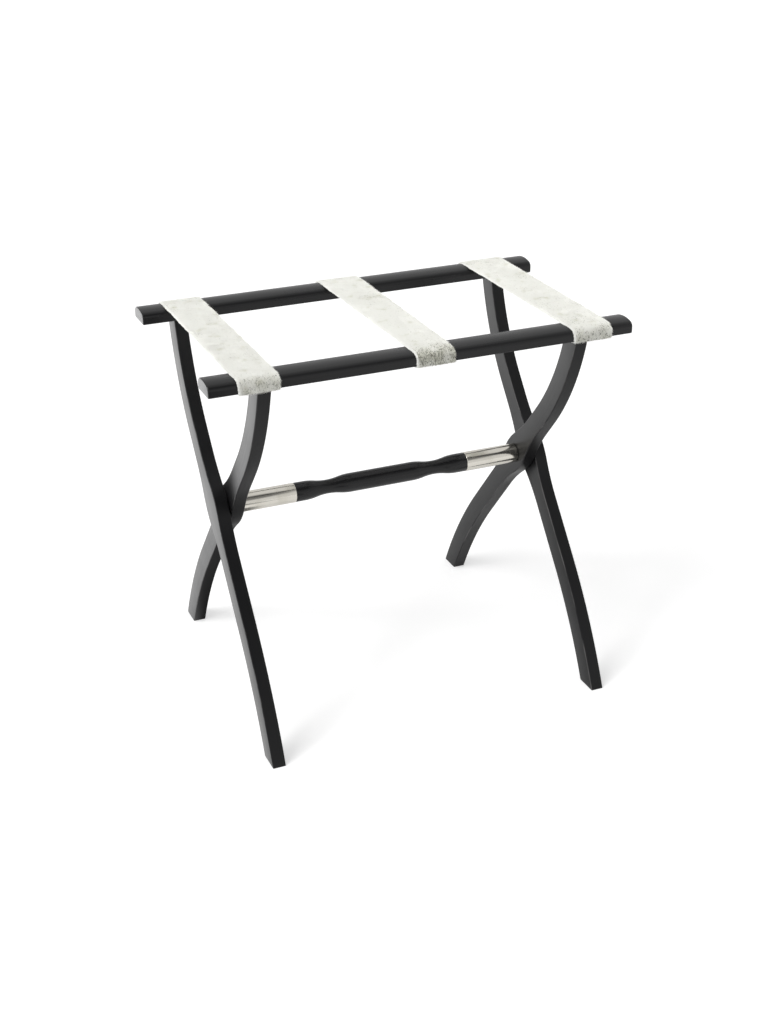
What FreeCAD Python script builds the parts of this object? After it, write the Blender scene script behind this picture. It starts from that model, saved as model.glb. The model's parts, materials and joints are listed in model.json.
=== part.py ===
"""Folding luggage bench: two rails on two crossed pairs of ogee legs, with three hide straps.

Millimetres. X runs along the rails, Y from front to rear, Z up. The origin is on the floor,
at the middle of the open bench. The outer frame is the rear rail with the outer legs, and the
inner frame is the front rail with the inner legs and the turned handle rod between them. The
two frames fold about the rod's axis.
"""
import FreeCAD, Part
import math
import os

import Sketcher

Vector = FreeCAD.Vector
Rotation = FreeCAD.Rotation

# Driving dimensions, in millimetres and degrees.
SIZES = [
    # Rails
    ("rail_length", 610.0),
    ("rail_width", 42.0),
    ("rail_height", 18.4),
    ("rail_underside", 528.0),
    ("rail_shoulder_radius", 8.0),
    ("rail_crown_radius", 60.0),
    ("rail_corner_radius", 2.0),
    ("rail_end_easing", 1.2),
    # Legs, sawn from boards
    ("rail_overhang", 46.2),
    ("leg_width", 31.0),
    ("leg_thickness", 19.0),
    ("lean_angle", 40.0),
    ("pivot_height", 294.0),
    ("upper_straight", 115.0),
    ("upper_bend_radius", 365.0),
    ("lower_straight", 177.0),
    ("lower_bend_radius", 715.0),
    ("swell_rise", 9.0),
    ("swell_crown_radius", 110.0),
    ("swell_fillet_radius", 250.0),
    # Turned handle rod and its metal sleeves
    ("grip_length", 270.0),
    ("collar_diameter", 28.0),
    ("barrel_diameter", 27.6),
    ("neck_diameter", 20.3),
    ("neck_spacing", 168.0),
    ("neck_reach", 36.0),
    ("sleeve_diameter", 28.6),
    ("sleeve_wall", 1.5),
    ("rod_in_leg", 8.0),
    # Pivots
    ("pin_diameter", 8.0),
    ("pin_in_rod", 20.0),
    ("bush_diameter", 12.0),
    ("bush_depth", 12.0),
    ("flange_diameter", 20.0),
    ("flange_thickness", 1.0),
    ("running_gap", 0.05),
    ("turning_gap", 0.3),
    ("bore_end_room", 0.5),
    # Loose tenons between rails and legs
    ("glue_gap", 0.05),
    ("tenon_inset", 2.0),
    ("tenon_thickness", 8.0),
    ("tenon_width", 18.0),
    ("tenon_in_rail", 11.0),
    ("tenon_in_leg", 16.0),
    # Straps and their tacks
    ("strap_width", 58.0),
    ("strap_thickness", 2.0),
    ("strap_margin", 66.0),
    ("strap_seat_gap", 0.3),
    ("strap_flap", 20.0),
    ("strap_leg_room", 0.5),
    ("tack_head_width", 6.0),
    ("tack_head_height", 1.0),
    ("tack_shank_width", 1.8),
    ("tack_length", 11.0),
    ("tack_point", 3.5),
    ("tack_inset", 11.0),
    ("tack_pitch", 19.0),
]

# Sizes that follow from the driving ones.
LINKS = [
    ("upper_bend_sine",
     "=sin(lean_angle) - (rail_underside - pivot_height - upper_straight * cos(lean_angle))"
     " / upper_bend_radius"),
    # The rails sit centred over the leg tops.
    ("rail_offset",
     "=upper_straight * sin(lean_angle) + upper_bend_radius"
     " * (sqrt(1 - upper_bend_sine * upper_bend_sine) - cos(lean_angle))"),
    ("tenon_offset", "=rail_offset - tenon_inset"),
    ("outer_leg_inner_x", "=rail_length / 2 - rail_overhang - leg_thickness"),
    ("outer_leg_centre_x", "=outer_leg_inner_x + leg_thickness / 2"),
    ("inner_leg_outer_x", "=outer_leg_inner_x - flange_thickness - turning_gap"),
    ("inner_leg_inner_x", "=inner_leg_outer_x - leg_thickness"),
    ("inner_leg_centre_x", "=inner_leg_inner_x + leg_thickness / 2"),
    ("sleeve_bore_radius", "=sleeve_diameter / 2 - sleeve_wall"),
    ("rod_end_radius", "=sleeve_bore_radius - glue_gap"),
    ("pin_bore_diameter", "=pin_diameter + 2 * running_gap"),
    ("pin_start_x", "=inner_leg_inner_x - pin_in_rod"),
    ("pin_length", "=outer_leg_inner_x + bush_depth - bore_end_room - pin_start_x"),
    ("bush_bore_diameter", "=bush_diameter + 2 * glue_gap"),
    ("bush_bore_depth", "=bush_depth + bore_end_room"),
    ("rod_socket_diameter", "=2 * sleeve_bore_radius"),
    ("rod_socket_depth", "=rod_in_leg + bore_end_room"),
    ("tenon_rail_depth", "=tenon_in_rail + bore_end_room"),
    ("tenon_leg_depth", "=tenon_in_leg + bore_end_room"),
    ("tack_hole_width", "=tack_shank_width + 2 * glue_gap"),
    ("strap_pitch", "=rail_length / 2 - strap_margin"),
    ("tack_row", "=rail_offset + rail_width / 2 - tack_inset"),
    ("tack_head_top", "=rail_underside - 2 * strap_seat_gap - strap_thickness"),
    ("tack_hole_depth", "=tack_length - rail_underside + tack_head_top + bore_end_room"),
    ("strap_hole_width", "=tack_shank_width + 2 * strap_seat_gap"),
]

SIDES = (("left", -1), ("right", 1))
RAILS = (("rear", 1, "outer_leg_centre_x"), ("front", -1, "inner_leg_centre_x"))
OUTER_LEAN = 1     # the outer legs rise towards the rear
INNER_LEAN = -1    # the inner legs rise towards the front

doc = FreeCAD.newDocument("luggage_bench")
sheet = doc.addObject("Spreadsheet::Sheet", "Sizes")
for row, (alias, value) in enumerate(SIZES + LINKS, start=1):
    sheet.set(f"A{row}", alias)
    sheet.set(f"B{row}", str(value))
    sheet.setAlias(f"B{row}", alias)
doc.recompute()


def size(alias):
    """Value of one cell of the sheet, as a plain number."""
    return float(sheet.get(alias))


# ---------------------------------------------------------------- outlines

def line(start, end):
    """Straight stretch of an outline, between two (u, v) points."""
    return {"kind": "line", "start": start, "end": end}


def arc(centre, start, end, turn, radius=None):
    """Round stretch of an outline: turn is +1 anticlockwise or -1 clockwise, and radius is
    the expression that drives it."""
    return {"kind": "arc", "centre": centre, "start": start, "end": end,
            "turn": turn, "radius": radius}


def mirrored(stretches):
    """The same stretches with u reversed, in the order that continues the outline."""
    def flip(point):
        return (-point[0], point[1])

    result = []
    for stretch in reversed(stretches):
        if stretch["kind"] == "line":
            result.append(line(flip(stretch["end"]), flip(stretch["start"])))
        else:
            result.append(arc(flip(stretch["centre"]), flip(stretch["end"]),
                              flip(stretch["start"]), stretch["turn"], stretch["radius"]))
    return result


def backwards(stretches):
    """The same stretches followed the other way."""
    result = []
    for stretch in reversed(stretches):
        turned = dict(stretch, start=stretch["end"], end=stretch["start"])
        if stretch["kind"] == "arc":
            turned["turn"] = -stretch["turn"]
        result.append(turned)
    return result


def moved(stretches, du, dv):
    """The same stretches moved by du and dv."""
    result = []
    for stretch in stretches:
        copy = dict(stretch)
        for key in ("centre", "start", "end"):
            if key in copy:
                copy[key] = (copy[key][0] + du, copy[key][1] + dv)
        result.append(copy)
    return result


def closed(points):
    """Closed outline of straight stretches through the points."""
    return [line(start, end) for start, end in zip(points, points[1:] + points[:1])]


def rectangle(u, v, half_u, half_v):
    """Outline of a rectangle about (u, v)."""
    return closed([(u - half_u, v - half_v), (u + half_u, v - half_v),
                   (u + half_u, v + half_v), (u - half_u, v + half_v)])


def draw(sketch, stretches):
    """Adds a closed outline to a sketch, joins its ends and binds the radii."""
    ends = []
    for stretch in stretches:
        start, end = stretch["start"], stretch["end"]
        if stretch["kind"] == "line":
            segment = Part.LineSegment(Vector(*start, 0), Vector(*end, 0))
            index = sketch.addGeometry(segment, False)
            ends.append((index, 1, 2))
            continue
        centre = stretch["centre"]
        first, last = (start, end) if stretch["turn"] > 0 else (end, start)
        first_angle = math.atan2(first[1] - centre[1], first[0] - centre[0])
        last_angle = math.atan2(last[1] - centre[1], last[0] - centre[0])
        circle = Part.Circle(Vector(*centre, 0), Vector(0, 0, 1), math.dist(centre, start))
        index = sketch.addGeometry(Part.ArcOfCircle(circle, first_angle, last_angle), False)
        ends.append((index, 1, 2) if stretch["turn"] > 0 else (index, 2, 1))
        if stretch["radius"]:
            bound = sketch.addConstraint(Sketcher.Constraint("Radius", index, circle.Radius))
            sketch.setExpression(f"Constraints[{bound}]", stretch["radius"])
    for here, after in zip(ends, ends[1:] + ends[:1]):
        sketch.addConstraint(Sketcher.Constraint("Coincident", here[0], here[2],
                                                 after[0], after[1]))


# ---------------------------------------------------------------- features

def new_body(name):
    """An empty body with the node's name."""
    body = doc.addObject("PartDesign::Body", name)
    body.Label = name
    return body


def new_sketch(body, name, plane, offset=None):
    """A sketch on one of the body's origin planes, moved along the plane's normal by an
    offset given as an expression."""
    sketch = body.newObject("Sketcher::SketchObject", f"{body.Name}_{name}")
    role = f"{plane}_Plane"
    origin_plane = next(item for item in body.Origin.OriginFeatures if item.Role == role)
    sketch.AttachmentSupport = [(origin_plane, "")]
    sketch.MapMode = "FlatFace"
    if offset:
        sketch.setExpression("AttachmentOffset.Base.z", offset)
    return sketch


def pad(body, sketch, length, midplane=False, flipped=False):
    """Pads a sketch to a length given as an expression."""
    feature = body.newObject("PartDesign::Pad", f"{sketch.Name}_pad")
    feature.Profile = sketch
    feature.setExpression("Length", length)
    feature.Midplane = midplane
    feature.Reversed = flipped
    body.Tip = feature
    doc.recompute()
    return feature


def revolve(body, sketch, axis):
    """Turns a sketch all the way about its own H or V axis."""
    feature = body.newObject("PartDesign::Revolution", f"{sketch.Name}_turned")
    feature.Profile = sketch
    feature.ReferenceAxis = (sketch, [f"{axis}_Axis"])
    feature.Angle = 360.0
    body.Tip = feature
    doc.recompute()
    return feature


def pocket(body, sketch, depth, upwards):
    """Cuts a sketch in by a depth given as an expression, along its plane's normal if upwards
    and otherwise against it."""
    before = body.Shape.Volume
    feature = body.newObject("PartDesign::Pocket", f"{sketch.Name}_cut")
    feature.Profile = sketch
    feature.setExpression("Length", depth)
    feature.Reversed = upwards
    body.Tip = feature
    doc.recompute()
    if not body.Shape.Volume < before:
        raise ValueError(f"{feature.Name} cuts nothing")
    return feature


def bore(body, name, plane, place, diameter, depth, offset, upwards):
    """Drills a round hole at a (u, v) place into the face that offset says."""
    sketch = new_sketch(body, name, plane, offset)
    circle = Part.Circle(Vector(*place, 0), Vector(0, 0, 1), size(diameter) / 2)
    index = sketch.addGeometry(circle, False)
    bound = sketch.addConstraint(Sketcher.Constraint("Diameter", index, size(diameter)))
    sketch.setExpression(f"Constraints[{bound}]", f"Sizes.{diameter}")
    return pocket(body, sketch, depth, upwards)


def recess(body, name, places, half_u, half_v, depth, offset, upwards):
    """Cuts equal rectangular holes about (x, y) places from the height that offset says."""
    sketch = new_sketch(body, name, "XY", offset)
    for x, y in places:
        draw(sketch, rectangle(x, y, half_u, half_v))
    return pocket(body, sketch, depth, upwards)


def ease(body, base, width, picked):
    """Takes the sharpness off the edges of a feature that the picked test chooses."""
    names = [f"Edge{number}" for number, edge in enumerate(base.Shape.Edges, start=1)
             if picked(edge)]
    feature = body.newObject("PartDesign::Chamfer", f"{body.Name}_eased")
    feature.Base = (base, names)
    feature.setExpression("Size", width)
    body.Tip = feature
    doc.recompute()
    return feature


def lies_at(edge, axis, value):
    """True if the whole edge lies where one coordinate has the given value."""
    box = edge.BoundBox
    low, high = getattr(box, f"{axis}Min"), getattr(box, f"{axis}Max")
    return abs(low - value) < 0.01 and abs(high - value) < 0.01


# ---------------------------------------------------------------- rails

def rail_half_section(grow=0.0):
    """Right half of the rail's section from the middle of the underside to the crown, about
    the rail's own centre line and underside, moved outwards by grow."""
    half = size("rail_width") / 2
    corner = size("rail_corner_radius")
    shoulder = size("rail_shoulder_radius")
    crown = size("rail_crown_radius")
    top = size("rail_height")
    shoulder_u = half - shoulder
    shoulder_v = top - crown + math.sqrt((crown - shoulder) ** 2 - shoulder_u ** 2)
    reach = crown / (crown - shoulder)
    crown_centre = (0.0, top - crown)
    ratio = (crown + grow) / crown
    meet = (shoulder_u * reach * ratio,
            crown_centre[1] + (shoulder_v - crown_centre[1]) * reach * ratio)
    corner_centre = (half - corner, corner)
    return [
        line((0.0, -grow), (half - corner, -grow)),
        arc(corner_centre, (half - corner, -grow), (half + grow, corner), 1),
        line((half + grow, corner), (half + grow, shoulder_v)),
        arc((shoulder_u, shoulder_v), (half + grow, shoulder_v), meet, 1),
        arc(crown_centre, meet, (0.0, top + grow), 1),
    ]


def strap_centres():
    """X of the middle of each strap, by name."""
    pitch = size("strap_pitch")
    return {"left": -pitch, "middle": 0.0, "right": pitch}


def strap_tongues(strap, leg_centre):
    """Stretches in X of a strap's end flap under a rail that are free of the rail's legs."""
    low = strap_centres()[strap] - size("strap_width") / 2
    high = low + size("strap_width")
    if strap == "middle":
        return [(low, high)]
    middle = -leg_centre if strap == "left" else leg_centre
    room = size("leg_thickness") / 2 + size("strap_leg_room")
    return [(low, middle - room), (middle + room, high)]


def tack_places(strap, leg_centre):
    """X of each tack of one strap end, evenly spaced along its free tongues."""
    places = []
    for low, high in strap_tongues(strap, leg_centre):
        count = max(1, round((high - low) / size("tack_pitch")))
        step = (high - low) / count
        places += [low + step * (number + 0.5) for number in range(count)]
    return places


def tack_row(strap, side, leg_centre):
    """The (x, y) places of the tacks of one strap end."""
    return [(x, side * size("tack_row")) for x in tack_places(strap, leg_centre)]


def mortise(body, places, depth, upwards):
    """Cuts the mortises of loose tenons at the height where rails and legs meet."""
    return recess(body, "mortise", places, size("tenon_thickness") / 2 + size("glue_gap"),
                  size("tenon_width") / 2 + size("glue_gap"), depth,
                  "Sizes.rail_underside", upwards)


def rail(name, side, leg_centre):
    """A domed rail, side +1 at the rear and -1 at the front. It is mortised for the tenons of
    the legs at leg_centre, and holds the straps' tacks."""
    body = new_body(name)
    right = rail_half_section()
    section = moved(right + mirrored(right), side * size("rail_offset"), size("rail_underside"))
    profile = new_sketch(body, "section", "YZ")
    draw(profile, section)
    bar = pad(body, profile, "Sizes.rail_length", midplane=True)
    end = size("rail_length") / 2
    ease(body, bar, "Sizes.rail_end_easing",
         lambda edge: lies_at(edge, "X", end) or lies_at(edge, "X", -end))

    leg_x = size(leg_centre)
    mortise(body, [(sign * leg_x, side * size("tenon_offset")) for _, sign in SIDES],
            "Sizes.tenon_rail_depth", True)
    tacks = [place for strap in strap_centres() for place in tack_row(strap, side, leg_x)]
    half = size("tack_hole_width") / 2
    recess(body, "tack_holes", tacks, half, half, "Sizes.tack_hole_depth",
           "Sizes.rail_underside", True)
    return body


# ---------------------------------------------------------------- legs

def leg_outline():
    """Outline of a leg that leans towards +u as it rises, as (u, v) with the pivot at u = 0.

    The leg is straight through the pivot and bends upright towards both ends, so it makes an
    ogee. Both edges swell round the pivot: a crown arc between two fillet arcs.
    """
    lean = math.radians(size("lean_angle"))
    along = (math.sin(lean), math.cos(lean))
    across = (math.cos(lean), -math.sin(lean))
    pivot = (0.0, size("pivot_height"))
    half = size("leg_width") / 2
    rise = size("swell_rise")
    crown = size("swell_crown_radius")
    fillet = size("swell_fillet_radius")
    reach = math.sqrt((crown + fillet) ** 2 - (crown + fillet - rise) ** 2)
    share = crown / (crown + fillet)
    meet_out = half + rise - crown + (crown + fillet - rise) * share

    def at(distance, sideways):
        """Point at a distance up the straight stretch and a distance to its right."""
        return (pivot[0] + along[0] * distance + across[0] * sideways,
                pivot[1] + along[1] * distance + across[1] * sideways)

    top_centre = at(size("upper_straight"), -size("upper_bend_radius"))
    foot_centre = at(-size("lower_straight"), size("lower_bend_radius"))

    def on_arc(centre, radius, height, sign):
        """Point of an arc at a height, on the arc's right (sign +1) or left."""
        return (centre[0] + sign * math.sqrt(radius ** 2 - (height - centre[1]) ** 2), height)

    def edge(sign):
        """One long edge from the foot to the top, sign +1 on the right."""
        crown_centre = at(0.0, sign * (half + rise - crown))
        low_fillet = at(-reach, sign * (half + fillet))
        high_fillet = at(reach, sign * (half + fillet))
        low_start = at(-reach, sign * half)
        high_end = at(reach, sign * half)
        low_meet = at(-reach * share, sign * meet_out)
        high_meet = at(reach * share, sign * meet_out)
        foot = on_arc(foot_centre, size("lower_bend_radius") - sign * half, 0.0, -1)
        top = on_arc(top_centre, size("upper_bend_radius") + sign * half,
                     size("rail_underside"), 1)
        lower_end = at(-size("lower_straight"), sign * half)
        upper_end = at(size("upper_straight"), sign * half)
        return [
            arc(foot_centre, foot, lower_end, -1,
                f"Sizes.lower_bend_radius - {sign} * Sizes.leg_width / 2"),
            line(lower_end, low_start),
            arc(low_fillet, low_start, low_meet, -sign, "Sizes.swell_fillet_radius"),
            arc(crown_centre, low_meet, high_meet, sign, "Sizes.swell_crown_radius"),
            arc(high_fillet, high_meet, high_end, -sign, "Sizes.swell_fillet_radius"),
            line(high_end, upper_end),
            arc(top_centre, upper_end, top, 1,
                f"Sizes.upper_bend_radius + {sign} * Sizes.leg_width / 2"),
        ]

    right = edge(1)
    left = backwards(edge(-1))
    return (right + [line(right[-1]["end"], left[0]["start"])]
            + left + [line(left[-1]["end"], right[0]["start"])])


def leg_half_top():
    """Half of a leg's width where it meets the rail, measured level."""
    underside = size("rail_underside")
    ends = [stretch["start"][0] for stretch in leg_outline()
            if abs(stretch["start"][1] - underside) < 0.01]
    return max(abs(u - size("rail_offset")) for u in ends)


def leg(name, side, inner_face, lean):
    """One ogee leg. side is -1 at the left and +1 at the right, inner_face is the cell that
    holds the X of its inner face, and lean says which way it rises."""
    body = new_body(name)
    outline = leg_outline()
    if lean < 0:
        outline = mirrored(outline)
    profile = new_sketch(body, "outline", "YZ", f"{side} * Sizes.{inner_face}")
    draw(profile, outline)
    pad(body, profile, "Sizes.leg_thickness", flipped=side < 0)

    centre_x = side * (size(inner_face) + size("leg_thickness") / 2)
    mortise(body, [(centre_x, lean * size("tenon_offset"))], "Sizes.tenon_leg_depth", False)
    return body


def outer_leg(name, side):
    """A leg of the outer frame, with a blind bore for the pivot bush in its inner face."""
    body = leg(name, side, "outer_leg_inner_x", OUTER_LEAN)
    bore(body, "bush_bore", "YZ", (0.0, size("pivot_height")), "bush_bore_diameter",
         "Sizes.bush_bore_depth", f"{side} * Sizes.outer_leg_inner_x", side > 0)
    return body


def inner_leg(name, side):
    """A leg of the inner frame, with a socket for the rod and a hole for the pivot pin."""
    body = leg(name, side, "inner_leg_inner_x", INNER_LEAN)
    face = f"{side} * Sizes.inner_leg_inner_x"
    pivot = (0.0, size("pivot_height"))
    bore(body, "rod_socket", "YZ", pivot, "rod_socket_diameter", "Sizes.rod_socket_depth",
         face, side > 0)
    bore(body, "pin_hole", "YZ", pivot, "pin_bore_diameter", "Sizes.leg_thickness",
         face, side > 0)
    return body


# ---------------------------------------------------------------- handle rod and pivots

def ogee(start, end, start_is_top):
    """Two equal tangent arcs between a high and a low point that are both level there."""
    run = end[0] - start[0]
    drop = abs(end[1] - start[1])
    radius = (run ** 2 + drop ** 2) / (4 * drop)
    middle = ((start[0] + end[0]) / 2, (start[1] + end[1]) / 2)
    turn = 1 if run > 0 else -1
    if start_is_top:
        centres = (start[0], start[1] - radius), (end[0], end[1] + radius)
        turns = (-turn, turn)
    else:
        centres = (start[0], start[1] + radius), (end[0], end[1] - radius)
        turns = (turn, -turn)
    return [arc(centres[0], start, middle, turns[0]), arc(centres[1], middle, end, turns[1])]


def handle_rod():
    """The turned rod: a straight barrel, a neck and a collar at each end, then the reduced
    ends that fill the sleeves and enter the inner legs, bored for the pivot pins."""
    body = new_body("handle_rod")
    collar = size("collar_diameter") / 2
    barrel = size("barrel_diameter") / 2
    neck = size("neck_diameter") / 2
    neck_x = size("neck_spacing") / 2
    reach = size("neck_reach")
    grip_end = size("grip_length") / 2
    reduced = size("rod_end_radius")
    rod_end = size("inner_leg_inner_x") + size("rod_in_leg")
    bore_radius = size("pin_bore_diameter") / 2
    bore_end = size("pin_start_x") - size("bore_end_room")
    corners = [(0.0, 0.0), (bore_end, 0.0), (bore_end, bore_radius), (rod_end, bore_radius),
               (rod_end, reduced), (grip_end, reduced), (grip_end, collar),
               (neck_x + reach, collar)]
    right = [line(start, end) for start, end in zip(corners, corners[1:])]
    right += ogee((neck_x + reach, collar), (neck_x, neck), True)
    right += ogee((neck_x, neck), (neck_x - reach, barrel), False)
    right.append(line((neck_x - reach, barrel), (0.0, barrel)))
    profile = new_sketch(body, "profile", "XY")
    draw(profile, right + mirrored(right))
    revolve(body, profile, "H")
    body.setExpression("Placement.Base.z", "Sizes.pivot_height")
    return body


def turned_ring(name, points):
    """A ring turned about the pivot axis from the corners (x, radius) of its section."""
    body = new_body(name)
    profile = new_sketch(body, "profile", "XY")
    draw(profile, closed(points))
    revolve(body, profile, "H")
    body.setExpression("Placement.Base.z", "Sizes.pivot_height")
    return body


def sleeve(name, side):
    """The metal tube between the rod's collar and the inner leg."""
    low, high = sorted((side * size("grip_length") / 2, side * size("inner_leg_inner_x")))
    inside = size("sleeve_bore_radius")
    outside = size("sleeve_diameter") / 2
    return turned_ring(name, [(low, inside), (high, inside), (high, outside), (low, outside)])


def pivot_bush(name, side):
    """The flanged bush in the outer leg. Its flange spaces the two legs."""
    face = side * size("outer_leg_inner_x")
    flange = face - side * size("flange_thickness")
    end = face + side * size("bush_depth")
    inside = size("pin_bore_diameter") / 2
    outside = size("bush_diameter") / 2
    rim = size("flange_diameter") / 2
    return turned_ring(name, [(flange, inside), (end, inside), (end, outside), (face, outside),
                              (face, rim), (flange, rim)])


def pivot_pin(name, side):
    """The steel pin, fixed in the rod's end and the inner leg, turning in the bush."""
    pin = doc.addObject("Part::Cylinder", name)
    pin.Label = name
    pin.setExpression("Radius", "Sizes.pin_diameter / 2")
    pin.setExpression("Height", "Sizes.pin_length")
    start = Vector(side * size("pin_start_x"), 0.0, size("pivot_height"))
    pin.Placement = FreeCAD.Placement(start, Rotation(Vector(0, 1, 0), side * 90.0))
    return pin


def loose_tenon(name, side, lean, leg_centre):
    """The glued tenon between the top of one leg and its rail."""
    tenon = doc.addObject("Part::Box", name)
    tenon.Label = name
    tenon.setExpression("Length", "Sizes.tenon_thickness")
    tenon.setExpression("Width", "Sizes.tenon_width")
    tenon.setExpression("Height", "Sizes.tenon_in_leg + Sizes.tenon_in_rail")
    tenon.setExpression("Placement.Base.x",
                        f"{side} * Sizes.{leg_centre} - Sizes.tenon_thickness / 2")
    tenon.setExpression("Placement.Base.y", f"{lean} * Sizes.tenon_offset - Sizes.tenon_width / 2")
    tenon.setExpression("Placement.Base.z", "Sizes.rail_underside - Sizes.tenon_in_leg")
    return tenon


# ---------------------------------------------------------------- straps and tacks

def strap_band(flap_end):
    """Section of a strap over both rails, down their outer faces and turned in under them as
    far as flap_end from each rail's middle, as one closed band."""
    inner_gap = size("strap_seat_gap")
    outer_gap = inner_gap + size("strap_thickness")
    rear = []
    for gap in (inner_gap, outer_gap):
        run = rail_half_section(gap)
        run[0] = line((flap_end, -gap), run[0]["end"])
        run = moved(run, size("rail_offset"), size("rail_underside"))
        run.append(line(run[-1]["end"], (0.0, run[-1]["end"][1])))
        rear.append(run)
    inner, outer = [run + mirrored(run) for run in rear]
    return (outer + [line(outer[-1]["end"], inner[-1]["end"])]
            + backwards(inner) + [line(inner[0]["start"], outer[0]["start"])])


def notch(body, name, leg_x, side, flap_inner, underface):
    """Notches an end flap of a strap round the leg that comes down through it."""
    room = size("strap_leg_room")
    half = size("leg_thickness") / 2 + room
    near = side * (flap_inner - room)
    far = side * (size("rail_offset") + leg_half_top() + room)
    sketch = new_sketch(body, name, "XY", str(underface))
    draw(sketch, closed([(leg_x - half, near), (leg_x + half, near),
                         (leg_x + half, far), (leg_x - half, far)]))
    pocket(body, sketch, "Sizes.strap_thickness + Sizes.strap_seat_gap", True)


def strap(which):
    """A strap over both rails. Its end flaps are pierced for the tacks and, on the outer
    straps, notched round the legs."""
    centre = strap_centres()[which]
    flap_end = size("rail_width") / 2 - size("strap_flap")
    half_hole = size("strap_hole_width") / 2
    underface = size("rail_underside") - size("strap_seat_gap") - size("strap_thickness")
    body = new_body(f"strap_{which}")
    profile = new_sketch(body, "band", "YZ", str(centre))
    draw(profile, strap_band(flap_end))
    pad(body, profile, "Sizes.strap_width", midplane=True)
    for end, side, leg_centre in RAILS:
        leg_x = size(leg_centre)
        recess(body, f"tack_holes_{end}", tack_row(which, side, leg_x), half_hole, half_hole,
               "Sizes.strap_thickness + Sizes.strap_seat_gap", str(underface), True)
        if which != "middle":
            notch(body, f"notch_{end}", math.copysign(leg_x, centre), side,
                  size("rail_offset") + flap_end, underface)
    return body


def cut_tack(name, x, y):
    """One tack, driven upwards: an eight-sided head, a square shank and a tapered point."""
    head = doc.addObject("Part::Prism", f"{name}_head")
    head.Polygon = 8
    head.setExpression("Circumradius", "Sizes.tack_head_width / 2 / cos(22.5)")
    head.setExpression("Height", "Sizes.tack_head_height")
    head.setExpression("Placement.Base.z", "Sizes.tack_head_top - Sizes.tack_head_height")
    shank = doc.addObject("Part::Box", f"{name}_shank")
    shank.setExpression("Length", "Sizes.tack_shank_width")
    shank.setExpression("Width", "Sizes.tack_shank_width")
    shank.setExpression("Height", "Sizes.tack_length - Sizes.tack_point")
    shank.setExpression("Placement.Base.z", "Sizes.tack_head_top")
    point = doc.addObject("Part::Wedge", f"{name}_point")
    for key, share in (("Xmin", -0.5), ("Xmax", 0.5), ("Zmin", -0.5), ("Zmax", 0.5),
                       ("X2min", -0.1), ("X2max", 0.1), ("Z2min", -0.1), ("Z2max", 0.1)):
        point.setExpression(key, f"{share} * Sizes.tack_shank_width")
    point.setExpression("Ymax", "Sizes.tack_point")
    point.Placement.Rotation = Rotation(Vector(1, 0, 0), 90.0)
    point.setExpression("Placement.Base.z",
                        "Sizes.tack_head_top + Sizes.tack_length - Sizes.tack_point")
    half = size("tack_shank_width") / 2
    shank.Placement.Base = Vector(x - half, y - half, 0.0)
    for part in (head, point):
        part.Placement.Base = Vector(x, y, 0.0)
    tack = doc.addObject("Part::MultiFuse", name)
    tack.Shapes = [head, shank, point]
    return tack


def strap_tacks(name, which, side, leg_centre):
    """The cut tacks that hold one strap end under its rail, as separate solids."""
    places = tack_row(which, side, size(leg_centre))
    group = doc.addObject("Part::Compound", name)
    group.Label = name
    group.Links = [cut_tack(f"{name}_{number}", x, y)
                   for number, (x, y) in enumerate(places, start=1)]
    return group


# ---------------------------------------------------------------- the bench

nodes = [handle_rod()]
nodes += [strap(which) for which in strap_centres()]
for place, sign in SIDES:
    nodes += [
        outer_leg(f"outer_leg_{place}", sign),
        inner_leg(f"inner_leg_{place}", sign),
        sleeve(f"sleeve_{place}", sign),
        pivot_pin(f"pivot_pin_{place}", sign),
        pivot_bush(f"pivot_bush_{place}", sign),
    ]
for end, lean, leg_centre in RAILS:
    nodes.append(rail(f"{end}_rail", lean, leg_centre))
    nodes += [loose_tenon(f"loose_tenon_{end}_{place}", sign, lean, leg_centre)
              for place, sign in SIDES]
    nodes += [strap_tacks(f"strap_tacks_{end}_{which}", which, lean, leg_centre)
              for which in strap_centres()]
doc.recompute()

failed = [item.Name for item in doc.Objects
          if "Invalid" in item.State or "Error" in item.State]
if failed:
    raise ValueError(f"objects that failed: {failed}")
for node in nodes:
    if node.Shape.isNull() or not node.Shape.isValid():
        raise ValueError(f"{node.Label} has no valid shape")

os.makedirs("parts", exist_ok=True)
for node in nodes:
    node.Shape.exportStep(f"parts/{node.Label}.step")
    print(node.Label, len(node.Shape.Solids), round(node.Shape.Volume, 1))
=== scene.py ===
"""Looks of the folding luggage bench: two domed rails on crossed ogee legs, a turned rod with
nickel sleeves, and three straps of hair-on hide. Metres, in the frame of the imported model.
"""

import json
import logging
import math
import random
from dataclasses import dataclass, field
from enum import Enum
from typing import Any, Sequence

import bmesh
import bpy
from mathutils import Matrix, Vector, noise

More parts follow.
